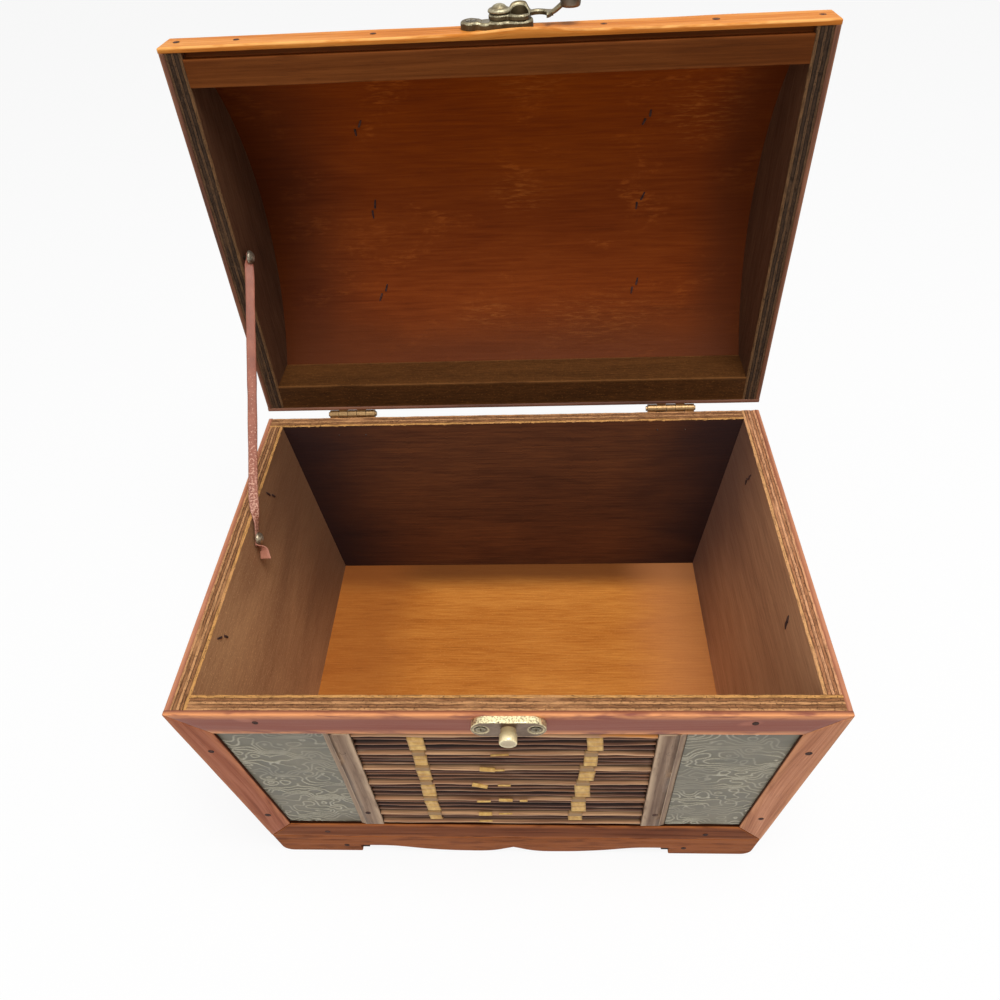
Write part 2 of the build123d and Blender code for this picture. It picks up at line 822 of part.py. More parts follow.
def shell(left, right, inner, outer, near=ply_front, far=lid_back):
    """Curved board of the lid between two radii, along X from left to right."""
    with BuildPart() as piece:
        with BuildSketch(Plane.YZ.offset(left)):
            with Locations((middle_y, arch_z)):
                Circle(outer)
                Circle(inner, mode=Mode.SUBTRACT)
            with Locations(((near + far) / 2, lid_z)):
                Rectangle(far - near, 2 * lid_rise, align=(Align.CENTER, Align.MIN), mode=Mode.INTERSECT)
        extrude(amount=right - left)
    return piece


ply_half = rim_width / 2 - trim
lid_top_panel = drilled(
    shell(-ply_half, ply_half, lid_inner_radius, arch_radius),
    [
        (staple_holes, ceiling_staples, lid_staple_leg),
        (nail_holes, lid_nail_places),
        (screw_holes, hasp_screw + lid_leaf_places),
    ],
)
write(lid_top_panel, "lid_top_panel", on_lid=True)


def edge_board(near, cuts):
    """Straight board along the lid's front or back edge."""
    plan = band(-rim_width / 2, rim_width / 2, near, near + trim)
    return drilled(slab(Plane.XY.offset(lid_z), plan, lid_rail), cuts)


lid_front_rail = edge_board(front_y, [(nail_holes, lid_nail_places), (screw_holes, hasp_screw)])
write(lid_front_rail, "lid_front_rail", on_lid=True)
lid_back_trim = edge_board(lid_back, [(screw_holes, lid_leaf_places)])
write(lid_back_trim, "lid_back_trim", on_lid=True)

side_trim_high = lid_spring - rim_gap
lid_side_trims = both(
    slab(
        Plane.XY.offset(lid_z),
        band(side * ply_half, side * rim_width / 2, ply_front, lid_back),
        side_trim_high,
    )
    for side in (-1, 1)
)
write(lid_side_trims, "lid_side_trims", on_lid=True)

# ------------------------------------------------------------------ lid dressing, bent over the arch
plan_outer = band(-rim_width / 2, rim_width / 2, ply_front, lid_back)
plan_inner = band(
    -rim_width / 2 + stile_width,
    rim_width / 2 - stile_width,
    ply_front + rail_width,
    lid_back - rail_width,
)


def bent(corners, thick):
    """Board with a straight-edged plan, bent over the lid's arch."""
    with BuildPart() as piece:
        add(slab(Plane.XY.offset(lid_z), corners, 2 * lid_rise).part)
        add(shell(-rim_width / 2, rim_width / 2, arch_radius, arch_radius + thick).part, mode=Mode.INTERSECT)
    return piece


def bent_mitred(index):
    """One board of the lid's mitred frame."""
    following = (index + 1) % 4
    corners = [plan_outer[index], plan_outer[following], plan_inner[following], plan_inner[index]]
    return bent(corners, trim)


write(both(bent_mitred(index) for index in (0, 2)), "lid_top_rails", on_lid=True)
write(both(bent_mitred(index) for index in (1, 3)), "lid_top_end_boards", on_lid=True)

top_near = ply_front + rail_width
top_far = lid_back - rail_width
top_battens = both(
    bent(
        band(x - batten_half, x + batten_half, top_near + batten_gap, top_far - batten_gap),
        trim,
    )
    for x in top_staple_x
)
top_staple_cuts = [(staple_holes, ceiling_staples, lid_staple_leg)]
write(drilled(top_battens, top_staple_cuts), "lid_top_battens", on_lid=True)

top_relief_inner = front_batten_x + batten_half
top_relief_outer = rim_width / 2 - stile_width
write(
    both(
        bent(band(side * top_relief_inner, side * top_relief_outer, top_near, top_far), relief_sheet)
        for side in (-1, 1)
    ),
    "lid_relief_panels",
    on_lid=True,
)

cane_start = arch_angle(top_near - middle_y, cover_radius)
cane_arc = radians(-2 * cane_start) * arch_radius
with BuildPart() as lid_cane_rods:
    with BuildSketch(Plane.YZ.offset(-front_cane_long / 2)):
        for middle, radius in cane_rods(0, cane_arc):
            angle = radians(cane_start) + middle / arch_radius
            reach = arch_radius - rod_sink
            with Locations((middle_y + reach * sin(angle), arch_z + reach * cos(angle))):
                Circle(radius)
        with Locations((middle_y, arch_z)):
            Circle(arch_radius, mode=Mode.SUBTRACT)
    extrude(amount=front_cane_long)
write(lid_cane_rods, "lid_cane_rods", on_lid=True)

tie_radius = arch_radius + thin_rod - rod_sink
tie_wide = degrees(thin_band / arch_radius)
with BuildPart() as lid_cane_ties:
    for x in (-tie_x, tie_x):
        with BuildSketch(Plane.YZ.offset(x - tie_width / 2)):
            with Locations((middle_y, arch_z)):
                for middle in cane_rows(0, cane_arc)[1]:
                    from_y = 90 - cane_start - degrees(middle / arch_radius) - tie_wide / 2
                    with BuildSketch(mode=Mode.PRIVATE) as sector:
                        with BuildLine():
                            CenterArc((0, 0), tie_radius, from_y, tie_wide)
                            CenterArc((0, 0), tie_radius + tie_thick, from_y, tie_wide)
                            for angle in (radians(from_y), radians(from_y + tie_wide)):
                                inner, outer = tie_radius, tie_radius + tie_thick
                                start = (inner * cos(angle), inner * sin(angle))
                                Line(start, (outer * cos(angle), outer * sin(angle)))
                        make_face()
                    add(sector.sketch)
        extrude(amount=tie_width)
write(lid_cane_ties, "lid_cane_ties", on_lid=True)

write(group(nail, lid_nail_places), "lid_nails", on_lid=True)
write(group(staple_shape(lid_staple_leg), ceiling_staples), "lid_staples", on_lid=True)

# ------------------------------------------------------------------ hasp on the lid's front
with BuildPart() as hasp_plate:
    with BuildSketch(lid_front):
        Circle(ring_radius)
        with Locations((-lobe_x, 0)):
            Circle(lobe_radius)
        with Locations((-lobe_x / 2, 0)):
            Rectangle(lobe_x, lobe_radius)
        with Locations((ring_x, 0)):
            Circle(ring_radius)
            Circle(ring_hole, mode=Mode.SUBTRACT)
    extrude(amount=plate)
    screw_holes(hasp_screw)
    plain_holes(spots(lid_front, [(0, 0)], plate), rivet_radius + screw_fit, plate)
write(hasp_plate, "hasp_plate", on_lid=True)
write(group(screw, hasp_screw), "hasp_screw", on_lid=True)

rivet_seat = plate + 2 * arm_gap + arm_thick
with BuildPart() as hasp_rivet:
    with BuildSketch(lid_front):
        Circle(rivet_radius)
    extrude(amount=rivet_seat)
    with BuildSketch(lid_front.offset(rivet_seat)):
        Circle(rivet_head)
    extrude(amount=rivet_dome)
    fillet(edges().group_by(Axis.Y)[0], rivet_dome * 0.7)
write(hasp_rivet, "hasp_rivet", on_lid=True)

stud_distance = pivot_rise + rim_gap + catch_drop
arm_low = plate + arm_gap
slot_half = stud_waist + hook_clearance
with BuildPart() as latch_arm:
    with BuildSketch(lid_front.offset(arm_low)):
        Circle(rivet_head)
        with Locations((ring_x, 0)):
            Circle(ring_radius)
        with Locations((stud_distance, 0)):
            Circle(hook_radius)
        with Locations((stud_distance, neck_width / 2)):
            Rectangle(neck_start - stud_distance + neck_flat, neck_width, align=(Align.MIN, Align.CENTER))
        with Locations((ring_x, 0)):
            Circle(ring_hole, mode=Mode.SUBTRACT)
        Circle(rivet_radius + pin_clearance, mode=Mode.SUBTRACT)
        with Locations((stud_distance, 0)):
            Circle(slot_half, mode=Mode.SUBTRACT)
        with BuildLine():
            outer_side = CenterArc((0, 0), stud_distance + slot_half, -hook_entry, hook_entry)
            inner_side = CenterArc((0, 0), stud_distance - slot_half, -hook_entry, hook_entry)
            Line(outer_side @ 0, inner_side @ 0)
            Line(outer_side @ 1, inner_side @ 1)
        make_face(mode=Mode.SUBTRACT)
    extrude(amount=arm_thick)
    neck_end = Plane(origin=lid_front.origin, x_dir=lid_front.x_dir, z_dir=lid_front.y_dir)
    with BuildSketch(neck_end):
        with BuildLine():
            Polyline(
                (neck_start, -arm_low),
                (neck_start + neck_flat, -arm_low),
                (knob_x - knob_radius, -knob_base),
                (knob_x, -knob_base),
                (knob_x, -knob_base - arm_thick),
                (knob_x - knob_radius - neck_flat / 2, -knob_base - arm_thick),
                (neck_start, -arm_low - arm_thick),
                close=True,
            )
        make_face()
    extrude(amount=neck_width)
    with BuildSketch(lid_front.offset(knob_base)):
        with Locations((knob_x, neck_width / 2)):
            Circle(knob_radius)
    extrude(amount=knob_long)
    fillet(faces().sort_by(Axis.Y)[0].edges(), knob_round)
write(latch_arm, "latch_arm", on_lid=True)

# ------------------------------------------------------------------ stay strap, pulled straight between its nails
foot_gap = strap_gap + strap_end * tan(flare)  # clears the wall, which leans in under the nail


def dome_nail(neck):
    """Round-headed nail with its head that far from the wall."""
    with BuildPart() as shape:
        with BuildSketch(Plane.XY.offset(-strap_nail_length)):
            Circle(strap_nail)
        extrude(amount=strap_nail_length + neck)
        with BuildSketch(Plane.XY.offset(neck)):
            Circle(strap_nail_head)
        extrude(amount=strap_nail_dome)
        fillet(edges().group_by(Axis.Z)[-1], strap_nail_dome * 0.8)
    return shape


write(group(dome_nail(foot_gap + strap_thick + 2 * strap_gap), [Location(stay_low)]), "strap_nail")
write(group(dome_nail(strap_thick + 2 * strap_gap), [Location(stay_high)]), "strap_rivet", on_lid=True)

head_y, head_z = opened(front_y + stay_head[0], lid_z + stay_head[1])
strap_foot = stay_low.from_local_coords(Vector(0, 0, foot_gap))
strap_head = Vector(-inner_x + strap_gap, head_y, head_z)
strap_line = strap_head - strap_foot
strap_along = strap_line.normalized()
strap_out = (Vector(1, 0, 0) - strap_along * strap_along.X).normalized()
strap_plane = Plane(origin=strap_foot + strap_line / 2, x_dir=strap_along, z_dir=strap_out)
with BuildPart() as stay_strap:
    with BuildSketch(strap_plane):
        RectangleRounded(strap_line.length + 2 * strap_end, strap_width, strap_width / 3)
        with Locations((-strap_line.length / 2, 0), (strap_line.length / 2, 0)):
            Circle(strap_nail + 0.2, mode=Mode.SUBTRACT)
    extrude(amount=strap_thick)
write(stay_strap, "stay_strap")
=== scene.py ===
"""Looks of the flared trunk with an arched lid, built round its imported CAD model.

Lengths here are in millimetres and become metres where a mesh is made."""

from itertools import product
from math import asin, cos, pi, radians, sin, sqrt, tan

import bmesh
import bpy
import numpy as np
from mathutils import Matrix, Vector
from mathutils.geometry import tessellate_polygon


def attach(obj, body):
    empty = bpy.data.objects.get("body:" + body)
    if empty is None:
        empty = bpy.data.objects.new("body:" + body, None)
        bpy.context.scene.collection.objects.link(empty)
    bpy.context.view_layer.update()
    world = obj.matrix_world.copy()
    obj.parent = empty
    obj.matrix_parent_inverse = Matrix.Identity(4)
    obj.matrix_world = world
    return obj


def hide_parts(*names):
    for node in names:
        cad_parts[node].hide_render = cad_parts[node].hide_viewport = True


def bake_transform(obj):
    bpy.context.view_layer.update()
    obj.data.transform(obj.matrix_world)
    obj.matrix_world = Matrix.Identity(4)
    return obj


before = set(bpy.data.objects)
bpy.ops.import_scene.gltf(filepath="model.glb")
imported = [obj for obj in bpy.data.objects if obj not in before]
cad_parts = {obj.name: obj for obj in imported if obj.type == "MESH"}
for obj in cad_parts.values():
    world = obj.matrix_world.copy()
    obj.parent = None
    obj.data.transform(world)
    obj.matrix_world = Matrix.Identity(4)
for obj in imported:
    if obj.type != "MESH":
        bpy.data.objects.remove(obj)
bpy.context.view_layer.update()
MM = 0.001

# ------------------------------------------------------------------ sizes, the same as the CAD model's
RIM_W, RIM_D, RIM_Z = 380.0, 255.0, 204.0
FLARE, SWING = radians(5.5), radians(93.0)
WALL, TRIM, RAIL, STILE, BATTEN = 10.0, 3.0, 21.5, 20.0, 16.0
BATTEN_GAP, BATTEN_X, SIDE_BATTEN = 1.0, 96.3, 62.5
BASE_H, WALL_FOOT, RELIEF = 28.0, 14.0, 1.2
THICK, THIN, ROD_GAP, SINK = 3.2, 2.25, 0.25, 0.3  # radii of the rods, and how deep they lie flat
PITCH = 2 * THICK + 6 * THIN + 4 * ROD_GAP
TIE_W, TIE_X, TIE_DRIFT, SIDE_TIE = 8.8, 51.0, 1.9, 34.0
FRONT_FOOT, SIDE_FOOT = 58.5, 52.0
LID_Z, HINGE_Z, HINGE_OUT = RIM_Z + 0.4, RIM_Z + 0.2, 3.5
HEAD_R, WAIST_R, STUD_OUT, HEAD_FROM = 5.0, 4.35, 12.5, 7.5  # stud of the catch
SPRING, RISE, LID_PLY = 17.2, 56.0, 4.0
ARCH_HALF = RIM_D / 2 - TRIM
ARCH_R = (ARCH_HALF**2 + RISE**2) / (2 * RISE)
ARCH_Z = LID_Z + SPRING + RISE - ARCH_R
COVER_R, INNER_R = ARCH_R + TRIM, ARCH_R - LID_PLY
REACH = RIM_D + HINGE_OUT - (RIM_D / 2 + HINGE_OUT) * cos(SWING) + (ARCH_Z - HINGE_Z) * sin(SWING) + COVER_R
FRONT_Y = (STUD_OUT - REACH) / 2
BACK_Y, PLY_Y, MID_Y = FRONT_Y + RIM_D, FRONT_Y + TRIM, FRONT_Y + RIM_D / 2
HINGE_Y = BACK_Y + HINGE_OUT
LID_BACK = BACK_Y - TRIM
LID_RAIL = ARCH_Z - LID_Z + sqrt(COVER_R**2 - ARCH_HALF**2)
INNER_X, PLY_HALF = RIM_W / 2 - TRIM - WALL, RIM_W / 2 - TRIM
LOW_H = BASE_H - RIM_Z
STEP_OFF = np.array([97.0, 31.0, 13.0])  # how far apart the grain of neighbouring pieces is taken


def lean_x(side, inset, z):
    """x of a leaning side at a height, a distance in from its outer face."""
    return side * (RIM_W / 2 - (RIM_Z - z) * tan(FLARE) - inset / cos(FLARE))


def slope(height):
    return height / cos(FLARE)


# ------------------------------------------------------------------ places: (u, v, w) in mm to the row frame
def on_front(u, v, w):
    return np.stack([u, PLY_Y - w, RIM_Z + v], -1)


def on_side(side):
    start = np.array([lean_x(side, TRIM, RIM_Z), (PLY_Y + BACK_Y) / 2, RIM_Z])
    x_dir = np.array([0.0, side, 0.0])
    z_dir = np.array([side * cos(FLARE), 0.0, -sin(FLARE)])
    y_dir = np.cross(z_dir, x_dir)
    return lambda u, v, w: start + u[..., None] * x_dir + v[..., None] * y_dir + w[..., None] * z_dir


def opened(points):
    """The shut lid's points, turned open."""
    near, up = points[..., 1] - HINGE_Y, points[..., 2] - HINGE_Z
    y = HINGE_Y + near * cos(SWING) + up * sin(SWING)
    z = HINGE_Z - near * sin(SWING) + up * cos(SWING)
    return np.stack([points[..., 0], y, z], -1)


def on_lid(u, v, w):
    """u is x, v is y and w is z of the shut lid."""
    return opened(np.stack(np.broadcast_arrays(u, v, w), -1))


def on_lid_front(u, v, w):
    """u along the lid's front, v up from its underside, w outwards from the plywood's edge."""
    return on_lid(u, PLY_Y - w, LID_Z + v)


def on_lid_back(u, v, w):
    return on_lid(u, LID_BACK + w, LID_Z + v)


def on_lid_side(side):
    return lambda u, v, w: on_lid(side * (PLY_HALF + w), MID_Y + side * u, LID_Z + v)


def on_arch(u, v, w):
    """u is x, v the length along the arch from its crown towards the back, w outwards from the plywood."""
    angle = v / ARCH_R
    radius = ARCH_R + w
    return on_lid(u, MID_Y + radius * np.sin(angle), ARCH_Z + radius * np.cos(angle))


def arch_v(y, radius=ARCH_R):
    """Length along the arch of the point of an arc at that y of the shut lid."""
    return asin((y - MID_Y) / radius) * ARCH_R


def shifted(place, v0):
    return lambda u, v, w: place(u, v + v0, w)


# ------------------------------------------------------------------ noise
LATTICE = 32
TABLE = np.random.default_rng(7).random((LATTICE, LATTICE, LATTICE)) * 2 - 1


def noise(x, y=0.0, z=0.0):
    """Smooth noise from -1 to 1 on a lattice of unit cells."""
    cells, ends = [], []
    for value in np.broadcast_arrays(np.asarray(x, float), np.asarray(y, float), np.asarray(z, float)):
        whole = np.floor(value).astype(int)
        part = value - whole
        part = part * part * (3 - 2 * part)
        cells.append(whole)
        ends.append((1 - part, part))
    total = 0.0
    for i, j, k in product((0, 1), repeat=3):
        corner = TABLE[(cells[0] + i) % LATTICE, (cells[1] + j) % LATTICE, (cells[2] + k) % LATTICE]
        total = total + ends[0][i] * ends[1][j] * ends[2][k] * corner
    return total


def fractal(x, y=0.0, z=0.0, octaves=4):
    total, size, gain = 0.0, 1.0, 1.0
    for octave in range(octaves):
        moved = np.asarray(x) * size + 5.2 * octave
        total = total + gain * noise(moved, np.asarray(y) * size, np.asarray(z) * size)
        size *= 2.03
        gain *= 0.5
    return total


def smooth(low, high, value):
    t = np.clip((value - low) / (high - low), 0, 1)
    return t * t * (3 - 2 * t)


def rounded(depth, reach):
    """Height from 0 to 1 of a quarter round, a depth in from its edge."""
    return np.sqrt(np.clip(1 - (1 - np.minimum(depth, reach) / reach) ** 2, 0, 1))


# ------------------------------------------------------------------ mesh making
class Builder:
    """Collects the surfaces of one piece, each with its material and its point attributes."""

    def __init__(self):
        self.points, self.faces, self.slots, self.soft = [], [], [], []
        self.values = {"grain": [], "edge": [], "tone": [], "mark": []}
        self.count = 0

    def add(self, points, faces, grain=None, edge=0.0, tone=0.0, mark=0.0, material=0, soft=True):
        points = np.asarray(points, float).reshape(-1, 3)
        self.points.append(points)
        self.values["grain"].append(points if grain is None else np.asarray(grain, float).reshape(-1, 3))
        for name, value in (("edge", edge), ("tone", tone), ("mark", mark)):
            self.values[name].append(np.broadcast_to(np.ravel(value), len(points)))
        self.faces += [tuple(int(i) + self.count for i in face) for face in faces]
        self.slots += [material] * len(faces)
        self.soft += [soft] * len(faces)
        self.count += len(points)

    def done(self, name, body, materials, replaces=()):
        """Makes the piece, which rides on a body and takes the place of the CAD nodes that it replaces."""
        mesh = bpy.data.meshes.new(name)
        mesh.from_pydata((np.concatenate(self.points) * MM).tolist(), [], self.faces)
        for material in materials if isinstance(materials, list) else [materials]:
            mesh.materials.append(material)
        mesh.polygons.foreach_set("material_index", self.slots)
        mesh.polygons.foreach_set("use_smooth", self.soft)
        grain = mesh.attributes.new("grain", "FLOAT_VECTOR", "POINT")
        vectors = np.concatenate(self.values["grain"]) * MM
        grain.data.foreach_set("vector", vectors.ravel().astype(np.float32))
        for key in ("edge", "tone", "mark"):
            layer = mesh.attributes.new(key, "FLOAT", "POINT")
            layer.data.foreach_set("value", np.concatenate(self.values[key]).astype(np.float32))
        mesh.update()
        work = bmesh.new()
        work.from_mesh(mesh)
        bmesh.ops.recalc_face_normals(work, faces=work.faces)
        work.to_mesh(mesh)
        work.free()
        piece = bpy.data.objects.new(name, mesh)
        bpy.context.scene.collection.objects.link(piece)
        if body:
            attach(piece, body)
        if replaces:
            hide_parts(*replaces)
        return piece


def ring_faces(loops, size, closed_ends=True):
    """Quads between consecutive closed loops of the same size, with an end cap on each side."""
    faces = []
    for a in range(loops - 1):
        for b in range(size):
            c = (b + 1) % size
            faces.append((a * size + b, a * size + c, (a + 1) * size + c, (a + 1) * size + b))
    if closed_ends:
        faces.append(tuple(range(size - 1, -1, -1)))
        faces.append(tuple((loops - 1) * size + b for b in range(size)))
    return faces


def strip_faces(size):
    """Quads between two open rows of the same size."""
    return [(k, k + 1, size + k + 1, size + k) for k in range(size - 1)]


def grid_index(s):
    return np.arange(s.size).reshape(s.shape)


def grid_faces(index):
    quads = np.stack([index[:-1, :-1], index[1:, :-1], index[1:, 1:], index[:-1, 1:]], -1)
    return quads.reshape(-1, 4).tolist()


def grid_border(index):
    return np.concatenate([index[:-1, 0], index[-1, :-1], index[:0:-1, -1], index[0, :0:-1]])


def shares(nu, nv, low=0.0, high=1.0):
    return np.meshgrid(np.linspace(low, high, nu + 1), np.linspace(0, 1, nv + 1), indexing="ij")


def put(place, points):
    """Places an array of (u, v, w) points."""
    return place(*np.transpose(points))


def board_section(r, across, chamfer):
    """Closed section of a board, as (side, offset, w, edge, dark), dark marking the side face that can get
    painted shade.

    The offset is from one of its long edges, or a share across where side is 2.
    A chamfer is (side, width, height of its outer edge)."""
    points = [(0, 0.0, 0.0, 0, 0), (1, 0.0, 0.0, 0, 1), (1, 0.0, TRIM - r - 0.25, 0, 1)]
    rounds = []
    for side in (1, 0):
        if chamfer and chamfer[0] == side:
            wide, low = chamfer[1:]
            steps = [(0.0, low - 0.3, 0), (0.25, low, 0.6), (wide - 0.35, TRIM - 0.22, 0)]
            steps += [(wide, TRIM, 1), (wide + 0.5, TRIM, 0.5)]
        else:
            turns = [k / 3 * pi / 2 for k in range(4)]
            steps = [(r * (1 - cos(a)), TRIM - r + r * sin(a), 1) for a in turns]
        rounds.append([(side, offset, w, edge, 0) for offset, w, edge in steps])
    middle = [(2, 1 - k / across, TRIM, 0, 0) for k in range(1, across)]
    return points + rounds[0] + middle + rounds[1][::-1]


BOARD_STEP = 5.0


def add_board(build, quad, place, seed, r=0.7, wobble=0.1, across=4, chamfer=None, inner=0.0):
    """Board between two long edges, quad[0] to quad[1] and quad[3] to quad[2], its face and ends rounded off.

    inner is painted shade on the side face of the board that faces the panel."""
    a, b, c, d = (np.array(p, float) for p in quad)
    length = np.linalg.norm((a + d) / 2 - (b + c) / 2)
    section = board_section(r, across, chamfer)
    count = max(3, int(length / BOARD_STEP))
    stations = [(r * (1 - cos(k / 3 * pi / 2)), TRIM - r + r * sin(k / 3 * pi / 2)) for k in range(3)]
    runs = stations + [(r + (length - 2 * r) * k / count, TRIM) for k in range(count + 1)]
    runs += [(length - s, h) for s, h in reversed(stations)]
    points, grain, edge, mark = [], [], [], []
    for at, high in runs:
        s = at / length
        first, second = a + (b - a) * s, d + (c - d) * s
        width = np.linalg.norm(second - first)
        for side, offset, w, e, dark in section:
            t = offset / width if side == 0 else 1 - offset / width if side == 1 else offset
            u, v = first + (second - first) * t
            h = min(w, high)
            if h > 0.2:
                h += wobble * float(noise(u * 0.03 + seed, v * 0.05, seed * 3.7))
            points.append((u, v, h))
            # painted shade on the board's side face towards the panel
            mark.append(dark * inner)
            grain.append((at + 97.0 * seed, t * width + 31.0 * seed, w + 13.0 * seed))
            edge.append(max(e, 1 if high < TRIM else 0) * (1 if w > 0.2 else 0))
    build.add(put(place, points), ring_faces(len(runs), len(section)), grain, edge, 0.0, mark)


def outline_offset(points, distance):
    """Closed outline moved inwards by a distance."""
    points = np.asarray(points, float)
    ahead, behind = np.roll(points, -1, 0) - points, points - np.roll(points, 1, 0)
    ahead /= np.linalg.norm(ahead, axis=1)[:, None]
    behind /= np.linalg.norm(behind, axis=1)[:, None]
    normal = np.stack([-(ahead[:, 1] + behind[:, 1]), ahead[:, 0] + behind[:, 0]], -1)
    size = np.linalg.norm(normal, axis=1)[:, None]
    normal = normal / np.maximum(size, 1e-6)
    stretch = np.clip(2 / np.maximum(size, 0.9), 1, 1.6)
    area = 0.5 * np.sum(points[:, 0] * np.roll(points[:, 1], -1) - points[:, 1] * np.roll(points[:, 0], -1))
    return points + normal * stretch * distance * (1 if area > 0 else -1)


def add_plate(build, outline, place, seed, r=0.8, steps=3):
    """Flat board with any outline, its outer edge rounded off."""
    loops = [(outline, 0.0)]
    for k in range(steps + 1):
        a = k / steps * pi / 2
        loops.append((outline_offset(outline, r * (1 - cos(a))), TRIM - r + r * sin(a)))
    size = len(outline)
    points = np.concatenate([np.column_stack([loop, np.full(size, w)]) for loop, w in loops])
    edge = np.concatenate([np.full(size, 0.0 if w < TRIM - r - 0.01 else 1.0) for _, w in loops])
    edge[-size:] = 0.6
    faces = ring_faces(len(loops), size, closed_ends=False)
    top = (len(loops) - 1) * size
    for tri in tessellate_polygon([[Vector((x, y, 0)) for x, y in loops[-1][0]]]):
        faces += [tuple(top + i for i in tri), tuple(reversed(tri))]
    build.add(put(place, points), faces, points + STEP_OFF * seed, edge, soft=False)


def add_tube(build, path, section, up, seed=0, tone=0.0, edge=0.0, mark=0.0):
    """Sweep of a closed section, given for each station as (across, outwards) points, along a path."""
    path = np.asarray(path, float)
    n = len(path)
    tangent = np.gradient(path, axis=0)
    tangent /= np.linalg.norm(tangent, axis=1)[:, None]
    across = np.cross(np.broadcast_to(np.asarray(up, float), (n, 3)), tangent)
    across /= np.linalg.norm(across, axis=1)[:, None]
    outward = np.cross(tangent, across)
    size = len(section(0))
    run = np.concatenate([[0], np.cumsum(np.linalg.norm(np.diff(path, axis=0), axis=1))])
    around = np.linspace(0, 2 * pi, size, endpoint=False)
    rows, grain = [], []
    for k in range(n):
        shape = np.asarray(section(k), float)
        rows.append(path[k] + shape[:, :1] * across[k] + shape[:, 1:] * outward[k])
        grain.append(np.column_stack([np.full(size, run[k]), around * 2.5, np.zeros(size)]) + 41.0 * seed)
    build.add(np.concatenate(rows), ring_faces(n, size), np.concatenate(grain), edge, tone, mark)


def add_lathe(build, profile, place, centre, turns, edge, seed=0, caps=True, material=0):
    """Turned piece: profile is (radius, w) from its back to its front, about a centre (u, v)."""
    angles = [2 * pi * k / turns for k in range(turns)]
    u, v = centre
    points = np.array([(u + r * cos(a), v + r * sin(a), w) for r, w in profile for a in angles])
    faces = ring_faces(len(profile), turns, caps)
    build.add(put(place, points), faces, points + 41.0 * seed, np.repeat(edge, turns), material=material)


# ------------------------------------------------------------------ materials
def srgb(colour):
    """Colour from its three 0 to 255 display values."""
    values = [c / 255 for c in colour]
    return (*[v / 12.92 if v <= 0.04045 else ((v + 0.055) / 1.055) ** 2.4 for v in values], 1.0)


class Signal:
    """Output of a shader node, for use in sums."""

    def __init__(self, nodes, socket):
        self.nodes, self.socket = nodes, socket

    def __add__(self, other):
        return self.nodes.maths("ADD", self, other)

    def __sub__(self, other):
        return self.nodes.maths("SUBTRACT", self, other)

    def __mul__(self, other):
        return self.nodes.maths("MULTIPLY", self, other)


class Nodes:
    """A node tree. Its colours are three display values, or four linear ones."""

    def __init__(self, owner):
        owner.use_nodes = True
        self.tree = owner.node_tree
        self.tree.nodes.clear()

    def set(self, socket, value):
        if isinstance(value, Signal):
            self.tree.links.new(value.socket, socket)
        else:
            socket.default_value = srgb(value) if socket.type == "RGBA" and len(value) == 3 else value

    def node(self, kind, inputs=(), output=0, **settings):
        """New node with its settings and (socket, value) inputs; gives the output that is asked for."""
        made = self.tree.nodes.new(kind)
        for key, value in settings.items():
            setattr(made, key, value)
        for key, value in inputs:
            self.set(made.inputs[key], value)
        return Signal(self, made.outputs[output]) if made.outputs else made

    def attribute(self, name, output="Fac"):
        return self.node("ShaderNodeAttribute", output=output, attribute_name=name)

    def where(self, on_object=False):
        """Grain coordinates of a built piece, or object coordinates of a CAD node."""
        if on_object:
            return self.node("ShaderNodeTexCoord", output="Object")
        return self.attribute("grain", "Vector")

    def scaled(self, vector, scale, offset=(0, 0, 0)):
        return self.node("ShaderNodeMapping", [("Vector", vector), ("Scale", scale), ("Location", offset)])

    def noise(self, where, scale, detail, rough, distort=0.0):
        inputs = [("Vector", self.scaled(where, scale)), ("Scale", 1.0), ("Detail", detail)]
        inputs += [("Roughness", rough), ("Distortion", distort)]
        return self.node("ShaderNodeTexNoise", inputs, "Fac")

    def distance(self, where, centre, spread):
        """Distance from a centre in metres, with each axis scaled."""
        offset = tuple(-c * k for c, k in zip(centre, spread))
        vector = self.scaled(where, spread, offset)
        return self.node("ShaderNodeVectorMath", [(0, vector)], "Value", operation="LENGTH")

    def maths(self, how, *values):
        return self.node("ShaderNodeMath", enumerate(values), operation=how)

    def ramp(self, value, stops):
        """Colour ramp over (position, colour or grey value) stops."""
        made = self.tree.nodes.new("ShaderNodeValToRGB")
        while len(made.color_ramp.elements) < len(stops):
            made.color_ramp.elements.new(0.5)
        for element, (position, colour) in zip(made.color_ramp.elements, stops):
            element.position = position
            element.color = srgb(colour) if hasattr(colour, "__len__") else (colour, colour, colour, 1)
        self.set(made.inputs["Fac"], value)
        return Signal(self, made.outputs["Color"])

    def step(self, value, low, high, top=1.0, bottom=0.0):
        inputs = [("Value", value), ("From Min", low), ("From Max", high)]
        inputs += [("To Min", bottom), ("To Max", top)]
        return self.node("ShaderNodeMapRange", inputs, "Result", interpolation_type="SMOOTHSTEP")

    def mix(self, share, a, b, how="MIX"):
        return self.node("ShaderNodeMix", [(0, share), (6, a), (7, b)], 2, data_type="RGBA", blend_type=how)

    def bump(self, height, strength, distance):
        inputs = [("Height", height), ("Strength", strength), ("Distance", distance)]
        return self.node("ShaderNodeBump", inputs)


class Shader(Nodes):
    """Material with one principled surface."""

    def __init__(self, name):
        self.material = bpy.data.materials.new(name)
        super().__init__(self.material)

    def finish(self, colour, rough, normal, **values):
        inputs = [("Base Color", colour), ("Roughness", rough), ("Normal", normal)]
        inputs += [(key.replace("_", " "), value) for key, value in values.items()]
        surface = self.node("ShaderNodeBsdfPrincipled", inputs)
        self.node("ShaderNodeOutputMaterial", [("Surface", surface)])
        return self.material


